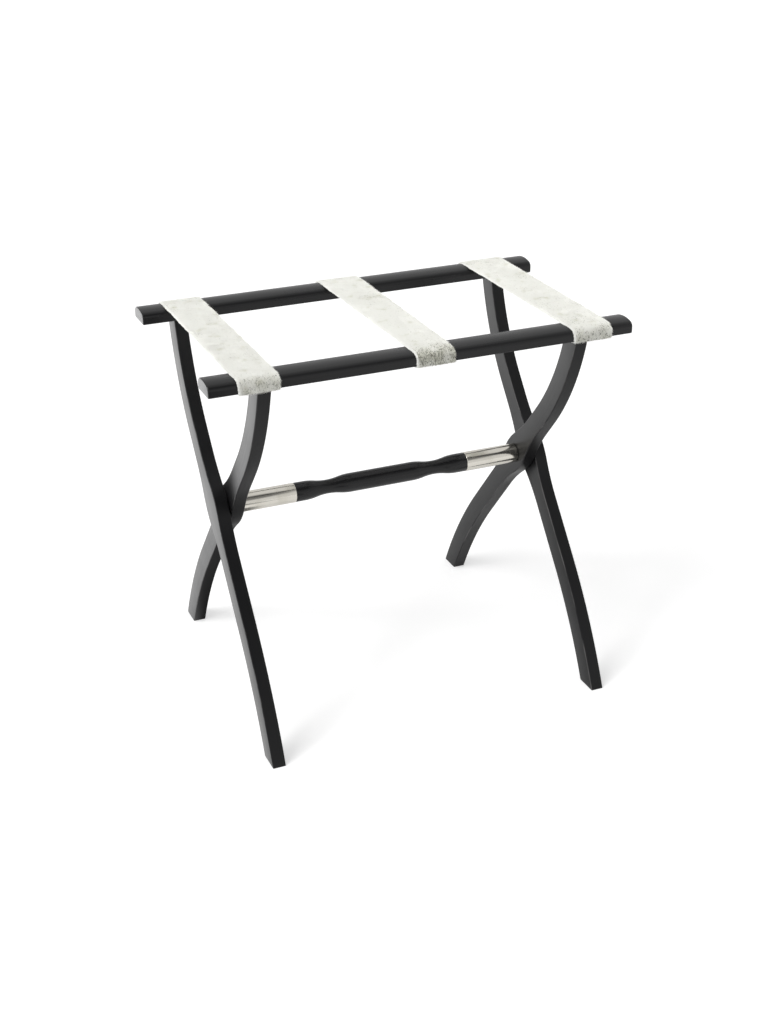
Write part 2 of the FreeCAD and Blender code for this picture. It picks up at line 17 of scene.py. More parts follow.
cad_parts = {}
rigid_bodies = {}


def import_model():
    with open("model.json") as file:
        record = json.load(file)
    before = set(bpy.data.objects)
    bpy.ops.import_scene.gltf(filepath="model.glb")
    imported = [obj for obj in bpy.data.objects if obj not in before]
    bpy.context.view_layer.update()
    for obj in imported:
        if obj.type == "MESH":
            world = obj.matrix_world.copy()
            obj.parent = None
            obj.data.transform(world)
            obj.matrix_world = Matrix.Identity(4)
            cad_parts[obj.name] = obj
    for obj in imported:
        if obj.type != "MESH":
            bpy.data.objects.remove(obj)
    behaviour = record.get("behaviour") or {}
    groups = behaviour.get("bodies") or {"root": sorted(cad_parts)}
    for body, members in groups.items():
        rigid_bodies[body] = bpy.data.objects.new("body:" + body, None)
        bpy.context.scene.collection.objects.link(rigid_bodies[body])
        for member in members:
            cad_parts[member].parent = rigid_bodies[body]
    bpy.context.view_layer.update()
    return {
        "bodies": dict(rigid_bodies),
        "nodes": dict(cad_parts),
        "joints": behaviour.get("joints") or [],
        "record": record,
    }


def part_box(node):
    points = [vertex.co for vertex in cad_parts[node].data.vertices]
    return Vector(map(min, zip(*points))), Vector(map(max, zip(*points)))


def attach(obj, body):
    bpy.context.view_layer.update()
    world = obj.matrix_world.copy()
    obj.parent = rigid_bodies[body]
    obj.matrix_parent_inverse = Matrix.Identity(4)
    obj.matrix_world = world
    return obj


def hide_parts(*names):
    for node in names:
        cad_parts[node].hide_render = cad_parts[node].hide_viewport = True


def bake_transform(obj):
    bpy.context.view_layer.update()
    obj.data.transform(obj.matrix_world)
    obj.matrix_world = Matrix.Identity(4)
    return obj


Point = tuple[float, float]
Colour = tuple[float, float, float]
Place = tuple[float, float, float]

LOG = logging.getLogger("luggage_bench")
MM = 0.001
SHARP_CORNER = math.radians(40.0)
GRAIN_MAP = "grain"
# Mask of the rounded edges: edge wear, and a painted highlight in the lacquer.
WEAR_AND_HIGHLIGHT = "edge_wear_and_highlight"
# Share of dark hairs; below zero on the left rims, as painted light.
PEPPER_AND_RIM_LIGHT = "pepper_and_rim_light"
DEPTH = "pepper_depth"
NAP = "nap"
FURRED = "furred"
TINT = "tint"


class Side(Enum):
    """Left or right of the bench, with the sign of its X."""

    LEFT = -1
    RIGHT = 1


class End(Enum):
    """Rear or front rail, with the sign of its Y."""

    REAR = 1
    FRONT = -1


class Frame(Enum):
    """The two folding frames, by the names of their bodies."""

    OUTER = "outer_frame"
    INNER = "inner_frame"


class StrapPlace(Enum):
    """The three straps along the rails."""

    LEFT = "left"
    MIDDLE = "middle"
    RIGHT = "right"


# ---------------------------------------------------------------- outlines and meshes

def along_line(start: Point, end: Point, count: int) -> list[Point]:
    """Spaces points along a straight stretch.

    Args:
        start: First point.
        end: Point that the stretch leads to, which is left out.
        count: How many points to give.

    Returns:
        The points, from the start on.
    """
    return [(start[0] + (end[0] - start[0]) * step / count,
             start[1] + (end[1] - start[1]) * step / count) for step in range(count)]


def along_arc(centre: Point, start: Point, end: Point, count: int) -> list[Point]:
    """Spaces points along the shorter arc between two points.

    Args:
        centre: Centre of the arc.
        start: First point.
        end: Point that the arc leads to, which is left out.
        count: How many points to give.

    Returns:
        The points, from the start on.
    """
    radius = math.dist(centre, start)
    first = math.atan2(start[1] - centre[1], start[0] - centre[0])
    turn = math.atan2(end[1] - centre[1], end[0] - centre[0]) - first
    turn = (turn + math.pi) % math.tau - math.pi
    angles = [first + turn * step / count for step in range(count)]
    return [(centre[0] + radius * math.cos(angle), centre[1] + radius * math.sin(angle))
            for angle in angles]


def filled(points: Sequence[Point], step: float) -> list[Point]:
    """Splits the long stretches of a path.

    Args:
        points: Corners of the path.
        step: Longest stretch allowed.

    Returns:
        The path with the same corners and more points between them.
    """
    result: list[Point] = []
    for start, end in zip(points, points[1:]):
        result += along_line(start, end, max(1, math.ceil(math.dist(start, end) / step)))
    return result + [points[-1]]


@dataclass
class Draft:
    """A mesh in the making, with a texture place for each face corner."""

    points: list[Vector] = field(default_factory=list)
    faces: list[tuple[int, ...]] = field(default_factory=list)
    corners: list[Point] = field(default_factory=list)
    smooth: list[bool] = field(default_factory=list)
    finishes: list[int] = field(default_factory=list)
    wear: list[float] = field(default_factory=list)

    def face(self, indices: tuple[int, ...], places: Sequence[Point], smooth: bool = True,
             finish: int = 0) -> None:
        """Adds one face.

        Args:
            indices: Its points.
            places: Texture place of each corner.
            smooth: False for a flat face that takes no shading from its neighbours.
            finish: Which of the object's materials it has.
        """
        self.faces.append(indices)
        self.corners += places
        self.smooth.append(smooth)
        self.finishes.append(finish)

    def mesh(self, name: str) -> bpy.types.Mesh:
        """Makes the mesh, with its faces outwards and its hard corners kept hard.

        Args:
            name: Name of the mesh.

        Returns:
            The finished mesh.
        """
        mesh = bpy.data.meshes.new(name)
        mesh.from_pydata([tuple(point) for point in self.points], [], self.faces)
        layer = mesh.uv_layers.new(name=GRAIN_MAP)
        layer.data.foreach_set("uv", [value for place in self.corners for value in place])
        mesh.polygons.foreach_set("use_smooth", self.smooth)
        mesh.polygons.foreach_set("material_index", self.finishes)
        if self.wear:
            worn = mesh.attributes.new(WEAR_AND_HIGHLIGHT, "FLOAT", "POINT")
            worn.data.foreach_set("value", self.wear)
        shell = bmesh.new()
        shell.from_mesh(mesh)
        bmesh.ops.recalc_face_normals(shell, faces=shell.faces)
        shell.to_mesh(mesh)
        shell.free()
        mesh.set_sharp_from_angle(angle=SHARP_CORNER)
        return mesh


def skin(rings: Sequence[Sequence[Vector]], wear: Sequence[Sequence[float]],
         flat_spans: frozenset[int] = frozenset(), looped: bool = False) -> Draft:
    """Skins equal rings of points with quads.

    Args:
        rings: The rings, each a closed loop of points.
        wear: Edge wear of each point of each ring, 0 to 1; the lacquer also lightens these points
            as a painted highlight.
        flat_spans: Numbers of the spans round a ring that lie flat.
        looped: True joins the last ring to the first; otherwise both ends are capped.

    Returns:
        The draft of a closed shell.
    """
    draft = Draft(points=[point for ring in rings for point in ring],
                  wear=[value for values in wear for value in values])
    count = len(rings[0])
    widest = max(rings, key=lambda ring: (ring[0] - ring[count // 2]).length)
    around = [0.0]
    for number in range(count):
        around.append(around[-1] + (widest[(number + 1) % count] - widest[number]).length)
    along = [0.0]
    for here, after in zip(rings, list(rings[1:]) + [rings[0]]):
        middles = [sum(ring, Vector()) / count for ring in (here, after)]
        step = max((middles[1] - middles[0]).length, abs((after[0] - here[0]).length) * 0.5)
        along.append(along[-1] + step)
    for ring in range(len(rings) if looped else len(rings) - 1):
        base, above = ring * count, (ring + 1) % len(rings) * count
        for span in range(count):
            after = (span + 1) % count
            draft.face((base + span, base + after, above + after, above + span),
                       [(along[ring], around[span]), (along[ring], around[span + 1]),
                        (along[ring + 1], around[span + 1]), (along[ring + 1], around[span])],
                       span not in flat_spans)
    if not looped:
        for base in (0, (len(rings) - 1) * count):
            indices = tuple(range(base, base + count))
            places = [(draft.points[index].y, draft.points[index].z) for index in indices]
            draft.face(indices, places, smooth=False)
    return draft


def turned(profile: Sequence[Point], height: float, segments: int, looped: bool) -> Draft:
    """Turns a profile about the pivot axis.

    Args:
        profile: Points (x, radius).
        height: Height of the axis.
        segments: Flats in one turn.
        looped: True for a closed profile, such as a tube's.

    Returns:
        The draft of the turned piece.
    """
    angles = [math.tau * number / segments for number in range(segments)]
    rings = [[Vector((x, radius * math.cos(angle), height + radius * math.sin(angle)))
              for angle in angles] for x, radius in profile]
    return skin(rings, [[0.0] * segments for _ in rings], looped=looped)


# ---------------------------------------------------------------- materials

def add_node(tree: bpy.types.NodeTree, kind: str, inputs: dict[int | str, Any] | None,
             settings: dict[str, Any]) -> bpy.types.Node:
    """Adds a node to a tree.

    Args:
        tree: The tree.
        kind: Full type of the node.
        inputs: Sockets to link from, or values to set, by name or number.
        settings: Properties of the node.

    Returns:
        The node.
    """
    node = tree.nodes.new(kind)
    for key, value in settings.items():
        setattr(node, key, value)
    for key, value in (inputs or {}).items():
        if isinstance(value, bpy.types.NodeSocket):
            tree.links.new(value, node.inputs[key])
        else:
            node.inputs[key].default_value = value
    return node


class Wiring:
    """The node layout of one material, written as nested calls."""

    def __init__(self, name: str) -> None:
        """Starts an empty material.

        Args:
            name: Name of the material.
        """
        self.material = bpy.data.materials.new(name)
        self.material.use_nodes = True
        self.tree = self.material.node_tree
        self.tree.nodes.clear()

    def node(self, kind: str, inputs: dict[int | str, Any] | None = None,
             **settings: Any) -> bpy.types.Node:
        """Adds a node, whose kind is given without its ShaderNode prefix."""
        return add_node(self.tree, f"ShaderNode{kind}", inputs, settings)

    def place(self, scale: Sequence[float], uv: bool = False) -> bpy.types.NodeSocket:
        """Texture place, stretched along each axis.

        Args:
            scale: Factor for each axis.
            uv: True for the piece's own grain map, False for Object coordinates.

        Returns:
            The stretched coordinates.
        """
        if uv:
            source = self.node("UVMap", uv_map=GRAIN_MAP).outputs["UV"]
        else:
            source = self.node("TexCoord").outputs["Object"]
        return self.node("Mapping", {"Vector": source, "Scale": tuple(scale)}).outputs[0]

    def noise(self, place: bpy.types.NodeSocket, scale: float, detail: float = 2.0,
              roughness: float = 0.5) -> bpy.types.NodeSocket:
        """Noise value at a place."""
        return self.node("TexNoise", {"Vector": place, "Scale": scale, "Detail": detail,
                                      "Roughness": roughness}).outputs["Fac"]

    def between(self, value: bpy.types.NodeSocket, low: float, high: float,
                to_low: float = 0.0, to_high: float = 1.0) -> bpy.types.NodeSocket:
        """Maps low to high smoothly onto another range."""
        node = self.node("MapRange", {"Value": value, "From Min": low, "From Max": high,
                                      "To Min": to_low, "To Max": to_high},
                         interpolation_type="SMOOTHSTEP")
        return node.outputs[0]

    def sum(self, first: bpy.types.NodeSocket, second: Any,
            operation: str = "ADD") -> bpy.types.NodeSocket:
        """Two values joined by an arithmetic operation."""
        return self.node("Math", {0: first, 1: second}, operation=operation).outputs[0]

    def mix(self, factor: bpy.types.NodeSocket, first: Any, second: Any) -> bpy.types.NodeSocket:
        """Mixes two colours, each a socket or a linear colour."""
        first, second = [value if isinstance(value, bpy.types.NodeSocket) else (*value, 1.0)
                         for value in (first, second)]
        node = self.node("Mix", {0: factor, 6: first, 7: second}, data_type="RGBA")
        return node.outputs[2]

    def bump(self, height: bpy.types.NodeSocket, strength: float, distance: float,
             normal: bpy.types.NodeSocket | None = None) -> bpy.types.NodeSocket:
        """Normal bent by a height, on top of another one if given."""
        inputs: dict[int | str, Any] = {"Height": height, "Strength": strength,
                                        "Distance": distance}
        if normal:
            inputs["Normal"] = normal
        return self.node("Bump", inputs).outputs[0]

    def value(self, name: str) -> bpy.types.NodeSocket:
        """A float attribute of the mesh."""
        return self.node("Attribute", attribute_name=name).outputs["Fac"]

    def surface(self, **inputs: Any) -> bpy.types.Material:
        """Ends the material with a Principled shader.

        Args:
            inputs: Sockets or values by socket name, with _ for a space.

        Returns:
            The finished material.
        """
        named = {key.replace("_", " "): value for key, value in inputs.items()}
        shader = self.node("BsdfPrincipled", named)
        self.node("OutputMaterial", {"Surface": shader.outputs[0]})
        return self.material


class SkyWiring(Wiring):
    """The node layout of the surroundings."""

    def __init__(self, name: str) -> None:
        """Starts an empty world.

        Args:
            name: Name of the world.
        """
        self.world = bpy.data.worlds.new(name)
        self.world.use_nodes = True
        self.tree = self.world.node_tree
        self.tree.nodes.clear()


@dataclass(frozen=True)
class BlackLacquer:
    """Sprayed black satin lacquer over close-grained wood."""

    colour: Colour = (0.0046, 0.0046, 0.0052)
    # Lighter colour of the rounded edges: partly worn lacquer, partly a painted highlight.
    rubbed_and_highlight: Colour = (0.085, 0.083, 0.082)
    index: float = 1.45
    gloss: float = 0.30
    polish: float = 0.0

    def material(self) -> bpy.types.Material:
        """Builds the material: faint grain, a sprayed skin, and rounded edges made lighter, partly
        as worn lacquer and partly as a painted highlight.

        Returns:
            The material.
        """
        wiring = Wiring(f"black_lacquer_{round(self.gloss * 100)}")
        grain = wiring.noise(wiring.place((5.0, 420.0, 1.0), uv=True), 1.0, 3.0, 0.6)
        skin_noise = wiring.noise(wiring.place((1.0, 1.0, 1.0)), 700.0, 1.0)
        cloud = wiring.noise(wiring.place((1.0, 1.0, 1.0)), 14.0, 3.0)
        # Rounded edges take the lighter colour, partly as wear and partly as a painted highlight.
        worn = wiring.sum(wiring.value(WEAR_AND_HIGHLIGHT), wiring.between(cloud, 0.42, 0.62), "MULTIPLY")
        colour = wiring.mix(worn, self.colour, self.rubbed_and_highlight)
        roughness = wiring.sum(wiring.between(cloud, 0.3, 0.7, self.gloss - 0.03,
                                              self.gloss + 0.03),
                               wiring.between(grain, 0.3, 0.7, -0.02, 0.03))
        roughness = wiring.sum(roughness, wiring.sum(wiring.value(WEAR_AND_HIGHLIGHT), self.polish, "MULTIPLY"),
                               "SUBTRACT")
        normal = wiring.bump(grain, 0.05, 0.12 * MM)
        normal = wiring.bump(skin_noise, 0.06, 0.10 * MM, normal)
        return wiring.surface(Base_Color=colour, Roughness=roughness, Normal=normal,
                              IOR=self.index)


@dataclass(frozen=True)
class PolishedNickel:
    """Warm nickel plate on a thin tube, polished on the lathe."""

    colour: Colour = (0.79, 0.76, 0.69)
    dull: Colour = (0.70, 0.67, 0.59)

    def material(self) -> bpy.types.Material:
        """Builds the material: fine turned lines, soft dull patches.

        Returns:
            The material.
        """
        wiring = Wiring("polished_nickel")
        lines = wiring.noise(wiring.place((700.0, 8.0, 1.0), uv=True), 1.0, 2.0)
        cloud = wiring.noise(wiring.place((1.0, 1.0, 1.0)), 38.0, 3.0)
        colour = wiring.mix(wiring.between(cloud, 0.45, 0.75), self.colour, self.dull)
        roughness = wiring.sum(wiring.between(cloud, 0.3, 0.7, 0.13, 0.19),
                               wiring.between(lines, 0.35, 0.65, -0.02, 0.03))
        return wiring.surface(Base_Color=colour, Roughness=roughness, Metallic=1.0)


@dataclass(frozen=True)
class HairOnHide:
    """White cattle hair with grey mottling and dark flecks."""

    white: Colour = (0.94, 0.94, 0.905)
    grey: Colour = (0.68, 0.68, 0.57)
    fleck: Colour = (0.16, 0.155, 0.11)

    def coat(self, wiring: Wiring, salt: bpy.types.NodeSocket) -> bpy.types.NodeSocket:
        """Colour of the coat.

        Args:
            wiring: Layout of the material.
            salt: Value from 0 to 1 that picks the dark hairs.

        Returns:
            The colour.
        """
        cloud = wiring.noise(wiring.place((1.0, 1.0, 1.0)), 60.0, 3.0)
        # The share of dark hairs is below zero on a strap's left rim, a painted light that whitens
        # the coat there.
        pepper_and_rim_light = wiring.value(PEPPER_AND_RIM_LIGHT)
        grey = wiring.sum(wiring.between(cloud, 0.54, 0.88), wiring.sum(pepper_and_rim_light, 2.0, "MULTIPLY"))
        ground = wiring.mix(grey, self.white, self.grey)
        cells = wiring.node("TexVoronoi", {"Vector": wiring.place((950.0, 620.0, 620.0)),
                                           "Scale": 1.0}).outputs["Color"]
        cell = wiring.node("SeparateColor", {0: cells}).outputs[0]
        speck = wiring.between(wiring.sum(cell, pepper_and_rim_light), 0.98, 1.02)
        speck = wiring.sum(speck, wiring.value(DEPTH), "MULTIPLY")
        stray = wiring.between(wiring.sum(salt, pepper_and_rim_light), 0.99, 1.02, 0.0, 0.8)
        return wiring.mix(wiring.sum(speck, stray, "MAXIMUM"), ground, self.fleck)

    def hide_material(self) -> bpy.types.Material:
        """Builds the skin under the hairs, streaked along the nap.

        Returns:
            The material.
        """
        wiring = Wiring("hide_hair_side")
        streaks = wiring.noise(wiring.place((260.0, 1500.0, 1.0), uv=True), 1.0, 3.0, 0.6)
        clumps = wiring.noise(wiring.place((1.0, 1.0, 1.0)), 420.0, 2.0)
        salt = wiring.between(clumps, 0.35, 0.85)
        normal = wiring.bump(streaks, 0.5, 0.4 * MM)
        return wiring.surface(Base_Color=self.coat(wiring, salt), Roughness=0.75, Normal=normal,
                              Sheen_Weight=0.15, Sheen_Roughness=0.4)

    def hair_material(self) -> bpy.types.Material:
        """Builds the single hairs, each with a tint of its own.

        Returns:
            The material.
        """
        wiring = Wiring("hide_hair")
        return wiring.surface(Base_Color=self.coat(wiring, wiring.value(TINT)), Roughness=0.5,
                              Sheen_Weight=0.1, Sheen_Roughness=0.4)


@dataclass(frozen=True)
class FleshSide:
    """Sueded inner side and cut edge of the hide."""

    colour: Colour = (0.66, 0.63, 0.57)
    shade: Colour = (0.50, 0.47, 0.41)

    def material(self) -> bpy.types.Material:
        """Builds the material: a short nap with soft clouds.

        Returns:
            The material.
        """
        wiring = Wiring("hide_flesh_side")
        nap = wiring.noise(wiring.place((1.0, 1.0, 1.0)), 1600.0, 3.0, 0.65)
        cloud = wiring.noise(wiring.place((1.0, 1.0, 1.0)), 45.0, 3.0)
        colour = wiring.mix(wiring.between(cloud, 0.35, 0.7), self.colour, self.shade)
        return wiring.surface(Base_Color=colour, Roughness=0.9, Sheen_Weight=0.3,
                              Normal=wiring.bump(nap, 0.6, 0.25 * MM))


@dataclass(frozen=True)
class PlainMetal:
    """A small metal fitting with soft tarnish."""

    name: str
    colour: Colour
    tarnish: Colour
    roughness: float

    def material(self) -> bpy.types.Material:
        """Builds the material: tarnish clouds and fine tool marks.

        Returns:
            The material.
        """
        wiring = Wiring(self.name)
        cloud = wiring.noise(wiring.place((1.0, 1.0, 1.0)), 240.0, 4.0)
        marks = wiring.noise(wiring.place((3.0, 1.0, 1.0)), 900.0, 2.0)
        colour = wiring.mix(wiring.between(cloud, 0.4, 0.7), self.colour, self.tarnish)
        roughness = wiring.between(cloud, 0.3, 0.7, self.roughness, self.roughness + 0.18)
        return wiring.surface(Base_Color=colour, Roughness=roughness, Metallic=1.0,
                              Normal=wiring.bump(marks, 0.25, 0.05 * MM))


@dataclass(frozen=True)
class Beech:
    """Bare beech with short dark flecks along the grain, which runs upright."""

    colour: Colour = (0.58, 0.40, 0.24)
    fleck: Colour = (0.36, 0.21, 0.11)

    def material(self) -> bpy.types.Material:
        """Builds the material: growth bands and short flecks.

        Returns:
            The material.
        """
        wiring = Wiring("beech")
        bands = wiring.noise(wiring.place((160.0, 160.0, 8.0)), 1.0, 3.0)
        flecks = wiring.noise(wiring.place((1400.0, 1400.0, 160.0)), 1.0, 1.0)
        shade = wiring.sum(wiring.between(bands, 0.35, 0.7, 0.0, 0.45),
                           wiring.between(flecks, 0.62, 0.72, 0.0, 0.5))
        return wiring.surface(Base_Color=wiring.mix(shade, self.colour, self.fleck),
                              Roughness=0.6, Normal=wiring.bump(flecks, 0.3, 0.05 * MM))


BLUED_STEEL = PlainMetal("blued_steel", (0.075, 0.08, 0.095), (0.03, 0.03, 0.035), 0.32)
BRONZE = PlainMetal("bronze", (0.62, 0.42, 0.21), (0.38, 0.24, 0.12), 0.3)
ZINC_PLATE = PlainMetal("zinc_plated_steel", (0.68, 0.69, 0.70), (0.5, 0.51, 0.53), 0.28)


# ---------------------------------------------------------------- wooden frames

@dataclass(frozen=True)
class RailSection:
    """Section of a rail, about its centre line and underside: a flat underside, upright sides,
    round shoulders and a shallow crown."""

    half_width: float
    height: float
    corner: float = 2.0 * MM
    shoulder: float = 8.0 * MM
    crown: float = 60.0 * MM
    lip: float = 0.4 * MM

    def half(self, grow: float, start: float = 0.0) -> list[Point]:
        """Right half of the section, from the underside to the crown.

        Args:
            grow: Distance outwards from the rail's own surface.
            start: Distance of the first point from the rail's middle.

        Returns:
            The points (u, v).
        """
        shoulder_u = self.half_width - self.shoulder
        rise = math.sqrt((self.crown - self.shoulder) ** 2 - shoulder_u ** 2)
        shoulder_v = self.height - self.crown + rise
        reach = (self.crown + grow) / (self.crown - self.shoulder)
        meet = (shoulder_u * reach, self.height - self.crown + rise * reach)
        side = self.half_width + grow
        low_end = (self.half_width - self.corner, -grow)
        points = [(start, -grow), (low_end[0] - self.lip, -grow)]
        points += along_arc((low_end[0], self.corner), low_end, (side, self.corner), 5)
        points += [(side, self.corner), (side, self.corner + self.lip),
                   (side, shoulder_v - self.lip)]
        points += along_arc((shoulder_u, shoulder_v), (side, shoulder_v), meet, 9)
        top = (0.0, self.height + grow)
        points += along_arc((0.0, self.height - self.crown), meet, top, 9)
        return points + [top]

    def ring(self, grow: float) -> list[Point]:
        """The whole section as a closed ring of points."""
        half = self.half(grow)
        return half[1:] + [(-u, v) for u, v in reversed(half[1:-1])]


@dataclass
class Rail:
    """One domed rail with rounded ends."""

    end: End
    frame: Frame
    section: RailSection
    finish: bpy.types.Material
    easing: float = 1.5 * MM
    easing_steps: int = 6
    bays: int = 12

    def build(self) -> bpy.types.Object:
        """Builds the rail where its solid lies.

        Returns:
            The finished piece, riding on its frame.
        """
        node = f"{self.end.name.lower()}_rail"
        low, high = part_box(node)
        centre_y = (low.y + high.y) / 2
        angles = [math.pi / 2 * step / self.easing_steps for step in range(self.easing_steps + 1)]
        stations = [(high.x - self.easing * (1 - math.cos(angle)),
                     self.easing * (1 - math.sin(angle))) for angle in angles]
        inner = [high.x * (1 - step / self.bays) for step in range(1, self.bays)]
        stations += [(x, 0.0) for x in inner] + [(0.0, 0.0)]
        stations += [(-x, inset) for x, inset in reversed(stations[:-1])]
        rings = [[Vector((x, centre_y + u, low.z + v)) for u, v in self.section.ring(-inset)]
                 for x, inset in stations]
        # Eased ends count as worn edges, which the lacquer also lightens as a painted highlight.
        wear = [[1.0 if 0.0 < inset < self.easing else 0.0] * len(rings[0])
                for _, inset in stations]
        mesh = skin(rings, wear).mesh(f"domed_rail_{self.end.name.lower()}")
        return dressed(mesh, [self.finish], self.frame, [node])


@dataclass(frozen=True)
class LegCurve:
    """Outline of a leg that leans towards +u as it rises: an ogee that swells at the pivot."""

    pivot_height: float
    top: float
    width: float = 31.0 * MM
    lean: float = math.radians(40.0)
    upper_straight: float = 115.0 * MM
    upper_radius: float = 365.0 * MM
    lower_straight: float = 177.0 * MM
    lower_radius: float = 715.0 * MM
    swell: float = 9.0 * MM
    swell_crown: float = 110.0 * MM
    swell_fillet: float = 250.0 * MM

    def at(self, distance: float, sideways: float) -> Point:
        """Point at a distance up the straight stretch and a distance to its right."""
        sine, cosine = math.sin(self.lean), math.cos(self.lean)
        return (sine * distance + cosine * sideways,
                self.pivot_height + cosine * distance - sine * sideways)

    def edge(self, sign: int) -> list[Point]:
        """One long edge, foot to top.

        Args:
            sign: 1 for the right edge and -1 for the left.

        Returns:
            The points; both edges have as many, side by side.
        """
        half = self.width / 2
        swollen = self.swell_crown + self.swell_fillet
        reach = math.sqrt(swollen ** 2 - (swollen - self.swell) ** 2)
        share = self.swell_crown / swollen
        meet_out = half + self.swell - self.swell_crown + (swollen - self.swell) * share
        foot_centre = self.at(-self.lower_straight, self.lower_radius)
        top_centre = self.at(self.upper_straight, -self.upper_radius)
        foot_reach = math.sqrt((self.lower_radius - sign * half) ** 2 - foot_centre[1] ** 2)
        top_reach = math.sqrt((self.upper_radius + sign * half) ** 2
                              - (self.top - top_centre[1]) ** 2)
        foot = (foot_centre[0] - foot_reach, 0.0)
        top = (top_centre[0] + top_reach, self.top)
        lower_end, upper_end = (self.at(distance, sign * half) for distance in
                                (-self.lower_straight, self.upper_straight))
        low_start, high_end = (self.at(distance, sign * half) for distance in (-reach, reach))
        low_meet, high_meet = (self.at(distance, sign * meet_out)
                               for distance in (-reach * share, reach * share))
        fillet = sign * (half + self.swell_fillet)
        crown = self.at(0.0, sign * (half + self.swell - self.swell_crown))
        points = along_arc(foot_centre, foot, lower_end, 22)
        points += along_line(lower_end, low_start, 5)
        points += along_arc(self.at(-reach, fillet), low_start, low_meet, 9)
        points += along_arc(crown, low_meet, high_meet, 12)
        points += along_arc(self.at(reach, fillet), high_meet, high_end, 9)
        points += along_line(high_end, upper_end, 3)
        points += along_arc(top_centre, upper_end, top, 20)
        return points + [top]


@dataclass
class OgeeLeg:
    """One leg, sawn to the ogee curve, with rounded edges and an eased foot."""

    side: Side
    frame: Frame
    curve: LegCurve
    finish: bpy.types.Material
    rounding: float = 1.3 * MM
    corner_steps: int = 5
    lip: float = 0.35 * MM
    least_radius: float = 0.15 * MM

    def ring(self, left: Point, right: Point, low_x: float, high_x: float,
             inset: float) -> tuple[list[Vector], list[float]]:
        """One cross-section of the leg as a rounded rectangle.

        Args:
            left: Place (y, z) of the left edge.
            right: Place of the right edge.
            low_x: Lowest X of the leg.
            high_x: Highest X of the leg.
            inset: How far the section has shrunk for the eased foot.

        Returns:
            The points of the ring, and the edge wear of each, which the lacquer also lightens as a
            painted highlight.
        """
        middle = Vector(((low_x + high_x) / 2, (left[0] + right[0]) / 2, (left[1] + right[1]) / 2))
        across = Vector((0.0, right[0] - left[0], right[1] - left[1]))
        half_width = across.length / 2 - inset
        across.normalize()
        half_depth = (high_x - low_x) / 2 - inset
        radius = max(self.rounding - inset, self.least_radius)
        points, wear = [], []
        for quarter, (sign_x, sign_u) in enumerate(((1, 1), (-1, 1), (-1, -1), (1, -1))):
            start = quarter * math.pi / 2
            angles = [start + math.pi / 2 * step / self.corner_steps
                      for step in range(self.corner_steps + 1)]
            centre_x = sign_x * (half_depth - radius)
            centre_u = sign_u * (half_width - radius)
            places = [(centre_x + radius * math.cos(angle), centre_u + radius * math.sin(angle))
                      for angle in angles]
            worn = [0.0] + [1.0] * (self.corner_steps - 1) + [0.0]
            if quarter % 2 == 0:
                places.append((places[-1][0] - sign_x * self.lip, places[-1][1]))
                worn.append(0.0)
            else:
                places.insert(0, (places[0][0] - sign_x * self.lip, places[0][1]))
                worn.insert(0, 0.0)
            points += [middle + Vector((x, 0.0, 0.0)) + across * u for x, u in places]
            wear += worn
        return points, wear

    def build(self) -> bpy.types.Object:
        """Builds the leg where its solid lies.

        Returns:
            The finished piece, riding on its frame.
        """
        kind = self.frame.name.lower()
        node = f"{kind}_leg_{self.side.name.lower()}"
        low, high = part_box(node)
        lean = 1 if self.frame is Frame.OUTER else -1
        lefts, rights = self.curve.edge(-1), self.curve.edge(1)
        slopes = [(after[0] - here[0]) / (after[1] - here[1])
                  for here, after in ((lefts[0], lefts[1]), (rights[0], rights[1]))]
        stations = []
        for step in range(self.corner_steps):
            angle = math.pi / 2 * step / self.corner_steps
            rise = self.rounding * (1 - math.cos(angle))
            feet = [(edge[0][0] + slope * rise, rise) for edge, slope in
                    zip((lefts, rights), slopes)]
            stations.append((*feet, self.rounding * (1 - math.sin(angle))))
        feet = [(edge[0][0] + slope * self.rounding, self.rounding)
                for edge, slope in zip((lefts, rights), slopes)]
        stations.append((*feet, 0.0))
        stations += [(left, right, 0.0) for left, right in zip(lefts[1:], rights[1:])]
        rings, wear = [], []
        for left, right, inset in stations:
            left, right = [(lean * u, v) for u, v in (left, right)]
            points, worn = self.ring(left, right, low.x, high.x, inset)
            rings.append(points)
            wear.append([1.0] * len(worn) if 0.0 < inset < self.rounding else worn)
        per_quarter = self.corner_steps + 2
        flat = frozenset({2 * per_quarter - 1, 4 * per_quarter - 1})
        mesh = skin(rings, wear, flat).mesh(f"ogee_leg_{kind}_{self.side.name.lower()}")
        return dressed(mesh, [self.finish], self.frame, [node])


# ---------------------------------------------------------------- handle rod

